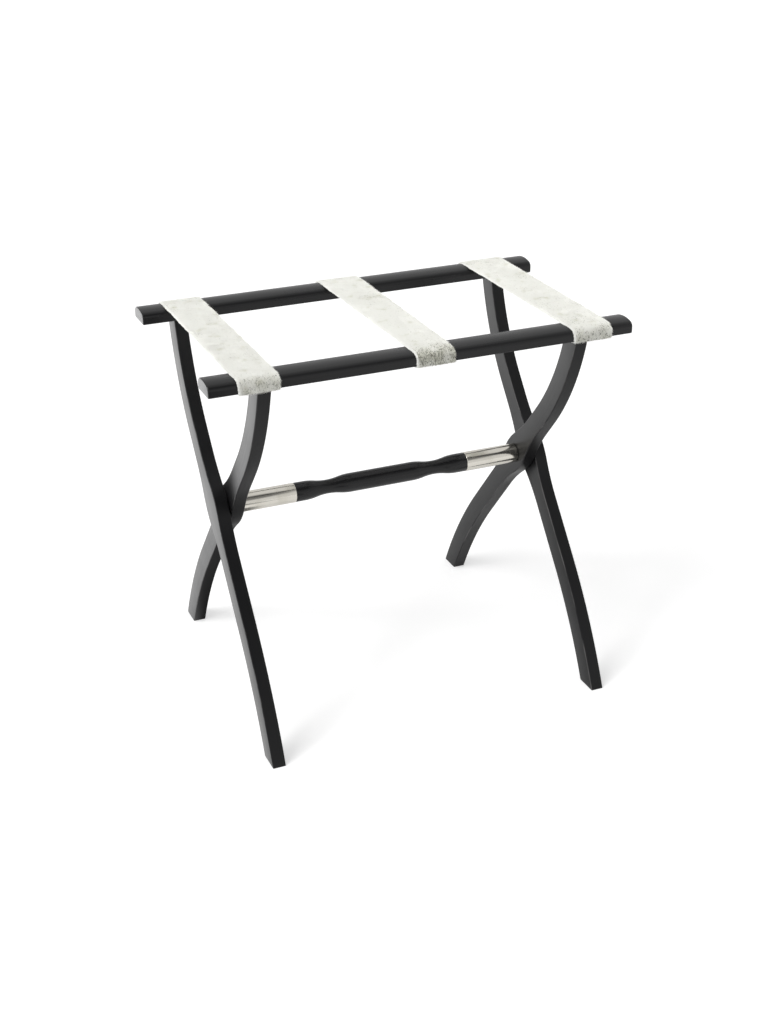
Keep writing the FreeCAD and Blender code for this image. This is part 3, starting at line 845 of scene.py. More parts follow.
@dataclass
class HandleRod:
    """The turned rod with its necks and collars, and the nickel sleeve at each end."""

    axis_height: float
    lacquer: bpy.types.Material
    nickel: bpy.types.Material
    collar: float = 14.0 * MM
    barrel: float = 13.8 * MM
    neck: float = 10.15 * MM
    neck_x: float = 84.0 * MM
    neck_reach: float = 36.0 * MM
    grip_end: float = 135.0 * MM
    sleeve_wall: float = 1.5 * MM
    sleeve_lip: float = 0.45 * MM
    sleeve_nose: float = 1.35 * MM
    bore_easing: float = 0.1 * MM
    grip_easing: float = 0.4 * MM
    glue_gap: float = 0.05 * MM
    pin_radius: float = 4.05 * MM
    pin_depth: float = 28.5 * MM
    segments: int = 72

    def ogee(self, start: Point, end: Point) -> list[Point]:
        """Two equal tangent arcs between two points that are both level there.

        Args:
            start: First point (x, radius).
            end: Last point, left out.

        Returns:
            The points of the curve.
        """
        run, drop = end[0] - start[0], end[1] - start[1]
        radius = (run ** 2 + drop ** 2) / (4 * abs(drop))
        middle = ((start[0] + end[0]) / 2, (start[1] + end[1]) / 2)
        towards = math.copysign(radius, drop)
        return (along_arc((start[0], start[1] + towards), start, middle, 10)
                + along_arc((end[0], end[1] - towards), middle, end, 10))

    def build_rod(self) -> bpy.types.Object:
        """Builds the rod with its reduced, bored ends.

        Returns:
            The finished rod.
        """
        low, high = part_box("handle_rod")
        sleeve_low, sleeve_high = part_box("sleeve_right")
        reduced = (sleeve_high.z - sleeve_low.z) / 2 - self.sleeve_wall - self.glue_gap
        edge = self.grip_easing
        right = self.ogee((self.neck_x - self.neck_reach, self.barrel),
                          (self.neck_x, self.neck))
        right += self.ogee((self.neck_x, self.neck), (self.neck_x + self.neck_reach, self.collar))
        right += [(self.neck_x + self.neck_reach, self.collar), (self.grip_end - edge, self.collar),
                  (self.grip_end - edge * 0.3, self.collar - edge * 0.3),
                  (self.grip_end, self.collar - edge), (self.grip_end, reduced),
                  (high.x, reduced), (high.x, self.pin_radius),
                  (high.x - self.pin_depth, self.pin_radius)]
        profile = [(-x, radius) for x, radius in reversed(right)] + right
        mesh = turned(profile, self.axis_height, self.segments, looped=False).mesh("turned_rod")
        return dressed(mesh, [self.lacquer], Frame.INNER, ["handle_rod"])

    def build_sleeve(self, side: Side) -> bpy.types.Object:
        """Builds one sleeve, a tube with rounded lips.

        Args:
            side: Which end of the rod it is on.

        Returns:
            The finished sleeve.
        """
        node = f"sleeve_{side.name.lower()}"
        low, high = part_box(node)
        outside = (high.z - low.z) / 2
        inside = outside - self.sleeve_wall
        profile = []
        for x, inward in ((low.x, 1.0), (high.x, -1.0)):
            lip = self.sleeve_lip if inward == side.value else self.sleeve_nose
            inner_x = x + inward * lip
            outer = [(inner_x - inward * lip * math.sin(angle),
                      outside - lip + lip * math.cos(angle))
                     for angle in (math.pi / 2 * step / 4 for step in range(5))]
            inner = [(x, inside + self.bore_easing), (inner_x, inside)]
            profile.append(outer + inner)
        ring = list(reversed(profile[0])) + profile[1]
        draft = turned(ring, self.axis_height, self.segments, looped=True)
        mesh = draft.mesh(f"nickel_sleeve_{side.name.lower()}")
        return dressed(mesh, [self.nickel], Frame.INNER, [node])

    def build(self) -> list[bpy.types.Object]:
        """Builds the rod and both sleeves."""
        return [self.build_rod()] + [self.build_sleeve(side) for side in Side]


# ---------------------------------------------------------------- geometry nodes

class NodeTree:
    """A Geometry Nodes tree written in the script, with named inputs."""

    def __init__(self, name: str, sizes: dict[str, tuple[str, Any]]) -> None:
        """Starts a tree.

        Args:
            name: Name of the tree.
            sizes: Socket type and value of each input, by name.
        """
        self.tree = bpy.data.node_groups.new(name, "GeometryNodeTree")
        self.tree.interface.new_socket("Geometry", in_out="INPUT",
                                       socket_type="NodeSocketGeometry")
        self.values: dict[str, Any] = {}
        for label, (kind, value) in sizes.items():
            socket = self.tree.interface.new_socket(label, in_out="INPUT", socket_type=kind)
            self.values[socket.identifier] = value
        self.tree.interface.new_socket("Geometry", in_out="OUTPUT",
                                       socket_type="NodeSocketGeometry")
        self.inputs = self.tree.nodes.new("NodeGroupInput").outputs

    def node(self, kind: str, inputs: dict[int | str, Any] | None = None,
             **settings: Any) -> bpy.types.Node:
        """Adds a node of a kind given in full."""
        return add_node(self.tree, kind, inputs, settings)

    def vector(self, operation: str, first: bpy.types.NodeSocket, second: Any,
               number: int = 1) -> bpy.types.NodeSocket:
        """Vector arithmetic on a socket and a socket or value in the numbered input."""
        return self.node("ShaderNodeVectorMath", {0: first, number: second},
                         operation=operation).outputs[0]

    def finish(self, geometry: bpy.types.NodeSocket, material: bpy.types.NodeSocket,
               smooth: bool = True) -> None:
        """Ends the tree: instances made real, smooth or in flats, in one material."""
        real = self.node("GeometryNodeRealizeInstances", {"Geometry": geometry})
        shaded = self.node("GeometryNodeSetShadeSmooth", {"Geometry": real.outputs[0],
                                                          "Shade Smooth": smooth})
        painted = self.node("GeometryNodeSetMaterial", {"Geometry": shaded.outputs[0],
                                                        "Material": material})
        output = self.tree.nodes.new("NodeGroupOutput")
        self.tree.links.new(painted.outputs[0], output.inputs[0])

    def run(self, source: bpy.types.Mesh, name: str) -> bpy.types.Mesh:
        """Runs the tree once on a mesh.

        Args:
            source: Mesh that the tree reads.
            name: Name of the result.

        Returns:
            The result as a plain mesh.
        """
        carrier = bpy.data.objects.new(f"{name}_source", source)
        bpy.context.scene.collection.objects.link(carrier)
        modifier = carrier.modifiers.new("nodes", "NODES")
        modifier.node_group = self.tree
        for identifier, value in self.values.items():
            modifier[identifier] = value
        depsgraph = bpy.context.evaluated_depsgraph_get()
        mesh = bpy.data.meshes.new_from_object(carrier.evaluated_get(depsgraph),
                                               preserve_all_data_layers=True,
                                               depsgraph=depsgraph)
        mesh.name = name
        carrier.modifiers.remove(modifier)
        bpy.data.objects.remove(carrier)
        return mesh


@dataclass
class HairCoat:
    """Short hairs that lie along the nap of a hide."""

    material: bpy.types.Material
    length: float = 4.4 * MM
    thickness: float = 0.17 * MM
    density: float = 1.8e6
    lift: float = 0.07
    stray: float = 0.15
    swirl: float = 0.27

    def tree(self, seed: int) -> NodeTree:
        """Lays out the nodes.

        Args:
            seed: Fixes the random draws.

        Returns:
            The tree.
        """
        tree = NodeTree("hair_coat", {
            "Density": ("NodeSocketFloat", self.density),
            "Length": ("NodeSocketFloat", self.length),
            "Thickness": ("NodeSocketFloat", self.thickness),
            "Lift": ("NodeSocketFloat", self.lift),
            "Swirl": ("NodeSocketFloat", self.swirl),
            "Seed": ("NodeSocketInt", seed),
            "Material": ("NodeSocketMaterial", self.material),
        })
        furred = tree.node("GeometryNodeInputNamedAttribute", {"Name": FURRED},
                           data_type="BOOLEAN")
        points = tree.node("GeometryNodeDistributePointsOnFaces", {
            "Mesh": tree.inputs["Geometry"], "Selection": furred.outputs["Attribute"],
            "Density": tree.inputs["Density"], "Seed": tree.inputs["Seed"]})
        nap = tree.node("GeometryNodeInputNamedAttribute", {"Name": NAP},
                        data_type="FLOAT_VECTOR").outputs["Attribute"]
        stray = tree.node("FunctionNodeRandomValue", {
            0: (-self.stray,) * 3, 1: (self.stray,) * 3, "Seed": tree.inputs["Seed"]},
            data_type="FLOAT_VECTOR").outputs[0]
        eddy = tree.node("ShaderNodeTexNoise", {"Scale": 55.0, "Detail": 1.0})
        centred = tree.vector("SUBTRACT", eddy.outputs["Color"], (0.5, 0.5, 0.5))
        swirled = tree.vector("SCALE", centred, tree.inputs["Swirl"], 3)
        raised = tree.vector("SCALE", points.outputs["Normal"], tree.inputs["Lift"], 3)
        way = tree.vector("ADD", tree.vector("ADD", nap, stray),
                          tree.vector("ADD", swirled, raised))
        turned_to = tree.node("FunctionNodeAlignRotationToVector", {"Vector": way}, axis="Z")
        hair = tree.node("GeometryNodeMeshCone", {
            "Vertices": 3, "Side Segments": 1, "Radius Top": 0.0,
            "Radius Bottom": tree.inputs["Thickness"], "Depth": tree.inputs["Length"]})
        scale = tree.node("FunctionNodeRandomValue", {
            0: (0.7, 0.7, 0.55), 1: (1.25, 1.25, 1.25), "Seed": tree.inputs["Seed"]},
            data_type="FLOAT_VECTOR").outputs[0]
        hairs = tree.node("GeometryNodeInstanceOnPoints", {
            "Points": points.outputs["Points"], "Instance": hair.outputs["Mesh"],
            "Rotation": turned_to.outputs[0], "Scale": scale})
        tint = tree.node("FunctionNodeRandomValue", {"Seed": tree.inputs["Seed"]},
                         data_type="FLOAT").outputs[1]
        kept = tree.node("GeometryNodeStoreNamedAttribute", {
            "Geometry": hairs.outputs[0], "Name": TINT, "Value": tint},
            data_type="FLOAT", domain="INSTANCE")
        tree.finish(kept.outputs[0], tree.inputs["Material"], smooth=False)
        return tree


@dataclass
class CutTacks:
    """The tacks under one rail: a low forged head on a tapered shank."""

    end: End
    frame: Frame
    material: bpy.types.Material
    head_radius: float = 3.0 * MM
    head_rise: float = 1.0 * MM
    shank_radius: float = 1.2 * MM
    tip_radius: float = 0.15 * MM
    seed: int = 7

    def places(self) -> list[Vector]:
        """Middle of the lowest face of each tack's solid.

        Returns:
            One point for each tack, from left to right.
        """
        result = []
        for strap in StrapPlace:
            node = self.node_name(strap)
            shell = bmesh.new()
            shell.from_mesh(bpy.data.objects[node].data)
            bmesh.ops.remove_doubles(shell, verts=shell.verts, dist=1e-6)
            left = set(shell.verts)
            found = []
            while left:
                island, front = set(), [left.pop()]
                while front:
                    vertex = front.pop()
                    island.add(vertex)
                    fresh = {edge.other_vert(vertex) for edge in vertex.link_edges} & left
                    left -= fresh
                    front += fresh
                spots = [vertex.co for vertex in island]
                bounds = [(min(spot[axis] for spot in spots), max(spot[axis] for spot in spots))
                          for axis in range(3)]
                found.append(Vector((sum(bounds[0]) / 2, sum(bounds[1]) / 2, bounds[2][0])))
            shell.free()
            result += sorted(found, key=lambda place: place.x)
        return result

    def node_name(self, strap: StrapPlace) -> str:
        """Name of the solid of one strap's tacks."""
        return f"strap_tacks_{self.end.name.lower()}_{strap.value}"

    def tree(self, length: float) -> NodeTree:
        """Lays out the nodes.

        Args:
            length: Length of a tack.

        Returns:
            The tree.
        """
        tree = NodeTree("cut_tacks", {
            "Head radius": ("NodeSocketFloat", self.head_radius),
            "Head rise": ("NodeSocketFloat", self.head_rise),
            "Shank radius": ("NodeSocketFloat", self.shank_radius),
            "Length": ("NodeSocketFloat", length),
            "Material": ("NodeSocketMaterial", self.material),
        })
        dome = tree.node("GeometryNodeMeshUVSphere", {"Segments": 20, "Rings": 10,
                                                      "Radius": 1.0})
        size = tree.node("ShaderNodeCombineXYZ", {
            "X": tree.inputs["Head radius"], "Y": tree.inputs["Head radius"],
            "Z": tree.inputs["Head rise"]})
        lifted = tree.node("ShaderNodeCombineXYZ", {"Z": tree.inputs["Head rise"]})
        head = tree.node("GeometryNodeTransform", {
            "Geometry": dome.outputs["Mesh"], "Translation": lifted.outputs[0],
            "Scale": size.outputs[0]})
        shank = tree.node("GeometryNodeMeshCone", {
            "Vertices": 4, "Side Segments": 4, "Radius Top": self.tip_radius,
            "Radius Bottom": tree.inputs["Shank radius"], "Depth": tree.inputs["Length"]})
        tack = tree.node("GeometryNodeJoinGeometry")
        for part in (head.outputs[0], shank.outputs["Mesh"]):
            tree.tree.links.new(part, tack.inputs[0])
        points = tree.node("GeometryNodeMeshToPoints", {"Mesh": tree.inputs["Geometry"]})
        spin = tree.node("FunctionNodeRandomValue", {
            0: (-0.05, -0.05, -3.0), 1: (0.05, 0.05, 3.0), "Seed": self.seed},
            data_type="FLOAT_VECTOR")
        tacks = tree.node("GeometryNodeInstanceOnPoints", {
            "Points": points.outputs[0], "Instance": tack.outputs[0],
            "Rotation": spin.outputs[0]})
        tree.finish(tacks.outputs[0], tree.inputs["Material"])
        return tree

    def build(self) -> bpy.types.Object:
        """Builds the tacks of one rail as one piece.

        Returns:
            The finished piece, riding on its frame.
        """
        nodes = [self.node_name(strap) for strap in StrapPlace]
        low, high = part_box(nodes[0])
        source = bpy.data.meshes.new("tack_places")
        source.from_pydata([tuple(place) for place in self.places()], [], [])
        mesh = self.tree(high.z - low.z).run(source, f"cut_tacks_{self.end.name.lower()}")
        return dressed(mesh, [self.material], self.frame, nodes)


# ---------------------------------------------------------------- straps

@dataclass(frozen=True)
class StrapEdges:
    """X of both edges of a strap, from its rear end over both rails to its front end."""

    rear_end: Point
    rear_crown: Point
    front_crown: Point
    front_end: Point


@dataclass(frozen=True)
class Peppering:
    """Dark hairs at the front end of a strap."""

    share: float
    start: float
    depth: float
    fade: float = 18.0 * MM


@dataclass
class HideGrid:
    """Grid of a hide: rows along its path and columns across, the same on both layers."""

    path: list[Point]
    lefts: list[float]
    rights: list[float]
    distances: list[float]
    columns: int
    kept: list[list[bool]] = field(default_factory=list)

    def x_at(self, row: int, share: float) -> float:
        """X at a share of a row's width, from its left edge."""
        return self.lefts[row] + (self.rights[row] - self.lefts[row]) * share

    def index(self, layer: int, row: int, column: int) -> int:
        """Number of a point of the grid."""
        return (layer * len(self.path) + row) * (self.columns + 1) + column

    def texture_place(self, row: int, column: int) -> Point:
        """Texture place of a point: distance along the strap, and across."""
        return self.distances[row], self.x_at(row, column / self.columns)

    def centre(self, row: int, column: int) -> Place:
        """Middle of a cell."""
        here, after = self.path[row], self.path[row + 1]
        return (self.x_at(row, (column + 0.5) / self.columns), (here[0] + after[0]) / 2,
                (here[1] + after[1]) / 2)

    def is_kept(self, row: int, column: int) -> bool:
        """True if a cell is inside the hide."""
        return 0 <= row < len(self.kept) and 0 <= column < self.columns and self.kept[row][column]


@dataclass
class HideStrap:
    """A strap of hair-on hide over both rails, turned in under them."""

    place: StrapPlace
    edges: StrapEdges
    section: RailSection
    hair_side: bpy.types.Material
    flesh_side: bpy.types.Material
    coat: HairCoat
    peppering: Peppering
    seed: int
    gap: float = 0.3 * MM
    thickness: float = 1.7 * MM
    flap: float = 20.0 * MM
    step: float = 1.5 * MM
    leg_room: float = 0.6 * MM
    ragged: float = 0.38 * MM
    beside_tack: float = 1.0 * MM
    flare: float = 6.0 * MM
    waves: tuple[Point, ...] = ((0.35 * MM, 75.0), (0.22 * MM, 210.0))
    nicks: int = 9
    nick_reach: float = 1.6 * MM
    nick_depth: float = 0.9 * MM
    worn_width: float = 3.0 * MM
    worn_depth: float = 0.75 * MM
    lean_width: float = 4.0 * MM
    lean: float = 0.38
    # Painted light on the left rim, which faces the key lamp: its width and how far it whitens the
    # coat.
    painted_rim_width: float = 2.0 * MM
    painted_rim_light: float = -0.3
    bare_rise: float = 0.4 * MM

    def rail_middle(self) -> tuple[float, float]:
        """Y of the rear rail's middle, and Z of its underside."""
        low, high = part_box("rear_rail")
        return (low.y + high.y) / 2, low.z

    def path(self) -> list[Point]:
        """Inner face of the strap, from under the rear rail to under the front one.

        Returns:
            The points (y, z).
        """
        middle, underside = self.rail_middle()
        start = self.section.half_width - self.flap
        rear = [(middle + u, underside + v) for u, v in self.section.half(self.gap, start)]
        return filled(rear + [(-y, z) for y, z in reversed(rear)], self.step)

    def edge_line(self, distances: Sequence[float], path: Sequence[Point],
                  which: int) -> list[float]:
        """X of one edge at each point of the path, wavy and ragged, and widened under the rails
        where it would leave a tack head uncovered.

        Args:
            distances: Distance of each point along the path.
            path: The path.
            which: 0 for the left edge and 1 for the right.

        Returns:
            One X for each point.
        """
        middle, underside = self.rail_middle()
        tacked = [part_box(f"strap_tacks_{end.name.lower()}_{self.place.value}")[which].x
                  for end in (End.REAR, End.FRONT)]
        straight = [distance for distance, place in zip(distances, path)
                    if abs(place[0]) <= middle]
        marks = [(0.0, self.edges.rear_end), (straight[0], self.edges.rear_crown),
                 (straight[-1], self.edges.front_crown), (distances[-1], self.edges.front_end)]
        draw = random.Random(self.seed * 2 + which)
        phases = [draw.uniform(0.0, math.tau) for _ in range(3)]
        nicks = [draw.uniform(0.0, distances[-1]) for _ in range(self.nicks)]
        inward = 1 - 2 * which
        result = []
        for distance, place in zip(distances, path):
            for (start, low), (end, high) in zip(marks, marks[1:]):
                if distance <= end:
                    break
            share = (distance - start) / (end - start)
            x = low[which] + (high[which] - low[which]) * share
            for (height, rate), phase in zip(self.waves, phases):
                x += height * math.sin(distance * rate + phase)
            x += self.ragged * draw.uniform(-1.0, 1.0)
            nick = sum(max(0.0, 1.0 - abs(distance - spot) / self.nick_reach) for spot in nicks)
            x += inward * self.nick_depth * min(nick, 1.0)
            wanted = tacked[place[0] < 0.0] - inward * self.beside_tack
            missing = max(0.0, (x - wanted) * inward)
            under = (middle + self.section.half_width - abs(place[0])) / self.flare
            if place[1] < underside:
                x -= inward * missing * min(1.0, max(0.0, under))
            result.append(x)
        return result

    def notches(self) -> list[tuple[float, float, int, float]]:
        """Finds where the flaps under the rails are notched round the legs.

        Returns:
            Lowest and highest X, sign of Y, and reach in Y of each notch.
        """
        if self.place is StrapPlace.MIDDLE:
            return []
        _, underside = self.rail_middle()
        result = []
        for kind, sign in (("outer", 1), ("inner", -1)):
            name = f"{kind}_leg_{self.place.value}"
            low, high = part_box(name)
            top = [abs(vertex.co.y) for vertex in bpy.data.objects[name].data.vertices
                   if vertex.co.z > underside - 0.1 * MM]
            result.append((low.x - self.leg_room, high.x + self.leg_room, sign,
                           max(top) + self.leg_room))
        return result

    def grid(self) -> HideGrid:
        """Lays out the grid of the hide, without the cells that the notches take.

        Returns:
            The grid.
        """
        path = self.path()
        distances = [0.0]
        for here, after in zip(path, path[1:]):
            distances.append(distances[-1] + math.dist(here, after))
        lefts, rights = [self.edge_line(distances, path, which) for which in (0, 1)]
        crown_left, crown_right = self.edges.front_crown
        grid = HideGrid(path, lefts, rights, distances,
                        round((crown_right - crown_left) / self.step))
        underside = self.rail_middle()[1]
        notches = self.notches()
        for row in range(len(path) - 1):
            centres = [grid.centre(row, column) for column in range(grid.columns)]
            grid.kept.append([z > underside
                              or not any(low < x < high and y * sign > 0 and abs(y) < reach
                                         for low, high, sign, reach in notches)
                              for x, y, z in centres])
        return grid

    def lay_points(self, grid: HideGrid,
                   draft: Draft) -> tuple[list[float], list[float], list[Vector]]:
        """Adds both layers of points, the outer one lumpy and worn towards its edges.

        Args:
            grid: The grid.
            draft: The mesh in the making.

        Returns:
            Share of dark hairs, their depth and the way of the nap, for each point; along the left
            rim the share is below zero, a painted light that whitens the coat.
        """
        pepper_and_rim_light, depth, nap = [], [], []
        for layer in (0, 1):
            for row, place in enumerate(grid.path):
                before, after = grid.path[max(row - 1, 0)], grid.path[min(row + 1,
                                                                          len(grid.path) - 1)]
                way = Vector((0.0, after[0] - before[0], after[1] - before[1])).normalized()
                normal = Vector((0.0, way.z, -way.y))
                for column in range(grid.columns + 1):
                    share = column / grid.columns
                    spot = Vector((grid.x_at(row, share), *place))
                    from_edge = min(share, 1 - share) * (grid.rights[row] - grid.lefts[row])
                    if layer:
                        worn = max(0.0, 1.0 - from_edge / self.worn_width)
                        lump = noise.noise(spot * 130) * 0.16 + noise.noise(spot * 420) * 0.08
                        spot += normal * (self.thickness - self.worn_depth * worn ** 2 + lump * MM)
                    draft.points.append(spot)
                    outward = (max(0.0, 1.0 - from_edge / self.lean_width) * self.lean
                               if share > 0.5 else 0.0)
                    nap.append((way + Vector((outward, 0.0, 0.0))).normalized())
                    # Painted light: the left rim gets a share of dark hairs below zero, so its coat
                    # shows whiter.
                    lit = share < 0.5 and from_edge < self.painted_rim_width
                    pepper_and_rim_light.append(self.painted_rim_light if lit else
                                  self.pepper_at(spot, grid.distances[-1] - grid.distances[row]))
                    depth.append(self.peppering.depth if pepper_and_rim_light[-1] > 0.03 else 0.4)
        return pepper_and_rim_light, depth, nap

    def lay_faces(self, grid: HideGrid, draft: Draft) -> list[bool]:
        """Adds the faces of both layers, and a rim wherever a kept cell ends the hide.

        Args:
            grid: The grid.
            draft: The mesh in the making.

        Returns:
            True for each face that grows hair: the outer ones above the rails' undersides.
        """
        lowest = self.rail_middle()[1] + self.bare_rise
        furred = []
        for row in range(len(grid.path) - 1):
            for column in range(grid.columns):
                if not grid.is_kept(row, column):
                    continue
                square = ((row, column), (row, column + 1), (row + 1, column + 1),
                          (row + 1, column))
                places = [grid.texture_place(*spot) for spot in square]
                for layer in (0, 1):
                    draft.face(tuple(grid.index(layer, *spot) for spot in square), places,
                               finish=1 - layer)
                    furred.append(layer == 1 and grid.centre(row, column)[2] > lowest)
                sides = (((row - 1, column), square[0], square[1]),
                         ((row, column + 1), square[1], square[2]),
                         ((row + 1, column), square[2], square[3]),
                         ((row, column - 1), square[3], square[0]))
                for neighbour, start, end in sides:
                    if grid.is_kept(*neighbour):
                        continue
                    rim = ((0, start), (0, end), (1, end), (1, start))
                    draft.face(tuple(grid.index(layer, *spot) for layer, spot in rim),
                               [grid.texture_place(*spot) for _, spot in rim])
                    furred.append(False)
        return furred

    def build_hide(self) -> tuple[bpy.types.Mesh, tuple[float, float]]:
        """Builds the hide itself as a thin closed band.

        Returns:
            The mesh, and the flat width and length.
        """
        grid = self.grid()
        draft = Draft()
        pepper_and_rim_light, depth, nap = self.lay_points(grid, draft)
        furred = self.lay_faces(grid, draft)
        mesh = draft.mesh(f"hide_strap_{self.place.value}")
        for name, kind, values in ((PEPPER_AND_RIM_LIGHT, "FLOAT", pepper_and_rim_light), (DEPTH, "FLOAT", depth),
                                   (NAP, "FLOAT_VECTOR", [part for way in nap for part in way])):
            attribute = mesh.attributes.new(name, kind, "POINT")
            attribute.data.foreach_set("value" if kind == "FLOAT" else "vector", values)
        marked = mesh.attributes.new(FURRED, "BOOLEAN", "FACE")
        marked.data.foreach_set("value", furred)
        widths = [right - left for left, right in zip(grid.lefts, grid.rights)]
        return mesh, (sum(widths) / len(widths), grid.distances[-1])

    def pepper_at(self, spot: Vector, to_front: float) -> float:
        """Share of dark hairs at a place.

        Args:
            spot: The place.
            to_front: Distance to the strap's front end.

        Returns:
            A share that grows over the front rail and in scattered patches.
        """
        patch = max(0.0, noise.noise(spot * 24 + Vector((self.seed, 0.0, 0.0))))
        front = (self.peppering.start - to_front) / self.peppering.fade
        drift = 0.75 + 0.9 * noise.noise(spot * 75)
        return (0.007 + 0.10 * patch ** 2
                + self.peppering.share * min(1.0, max(0.0, front)) * max(drift, 0.1))

    def build(self) -> list[bpy.types.Object]:
        """Builds the strap and its coat of hair.

        Returns:
            The hide and its hair.
        """
        name = self.place.value
        mesh, flat = self.build_hide()
        hair_mesh = self.coat.tree(self.seed).run(mesh.copy(), f"hide_hair_{name}")
        hide = as_object(mesh, [self.hair_side, self.flesh_side])
        hair = as_object(hair_mesh, [self.coat.material])
        for piece in (hide, hair):
            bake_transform(piece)
        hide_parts(f"strap_{name}")
        report(hide)
        report(hair)
        return [hide, hair]


# ---------------------------------------------------------------- small helpers for pieces

def as_object(mesh: bpy.types.Mesh, finishes: Sequence[bpy.types.Material]) -> bpy.types.Object:
    """Puts a mesh in the scene with its materials, at the origin.

    Args:
        mesh: The mesh, whose name the object takes.
        finishes: Materials, by the faces' numbers.

    Returns:
        The object.
    """
    mesh.materials.clear()
    for finish in finishes:
        mesh.materials.append(finish)
    piece = bpy.data.objects.new(mesh.name, mesh)
    bpy.context.scene.collection.objects.link(piece)
    return piece


def report(piece: bpy.types.Object) -> None:
    """Logs a piece's name and its number of faces."""
    LOG.info("%s: %d faces", piece.name, len(piece.data.polygons))


def dressed(mesh: bpy.types.Mesh, finishes: Sequence[bpy.types.Material], frame: Frame,
            nodes: Sequence[str]) -> bpy.types.Object:
    """Makes a rigid piece that stands for CAD nodes.

    Args:
        mesh: Its mesh.
        finishes: Its materials.
        frame: The frame that it rides on.
        nodes: The nodes that it replaces.

    Returns:
        The piece.
    """
    piece = as_object(mesh, finishes)
    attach(piece, frame.value)
    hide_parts(*nodes)
    report(piece)
    return piece


@dataclass
class HiddenFittings:
    """The pivots and tenons, which keep their own solids."""

    nodes: dict[str, bpy.types.Object]

    def dress(self) -> None:
        """Gives each fitting its material."""
        finishes = {"pivot_pin": ZINC_PLATE.material(), "pivot_bush": BRONZE.material(),
                    "loose_tenon": Beech().material()}
        for name, node in self.nodes.items():
            for start, finish in finishes.items():
                if name.startswith(start):
                    node.data.materials.clear()
                    node.data.materials.append(finish)
                    report(node)


# ---------------------------------------------------------------- studio

@dataclass(frozen=True)
class Lamp:
    """A distant lamp, soft where its spread is wide and crisp where it is narrow."""

    name: str
    direction: Place
    strength: float
    spread: float


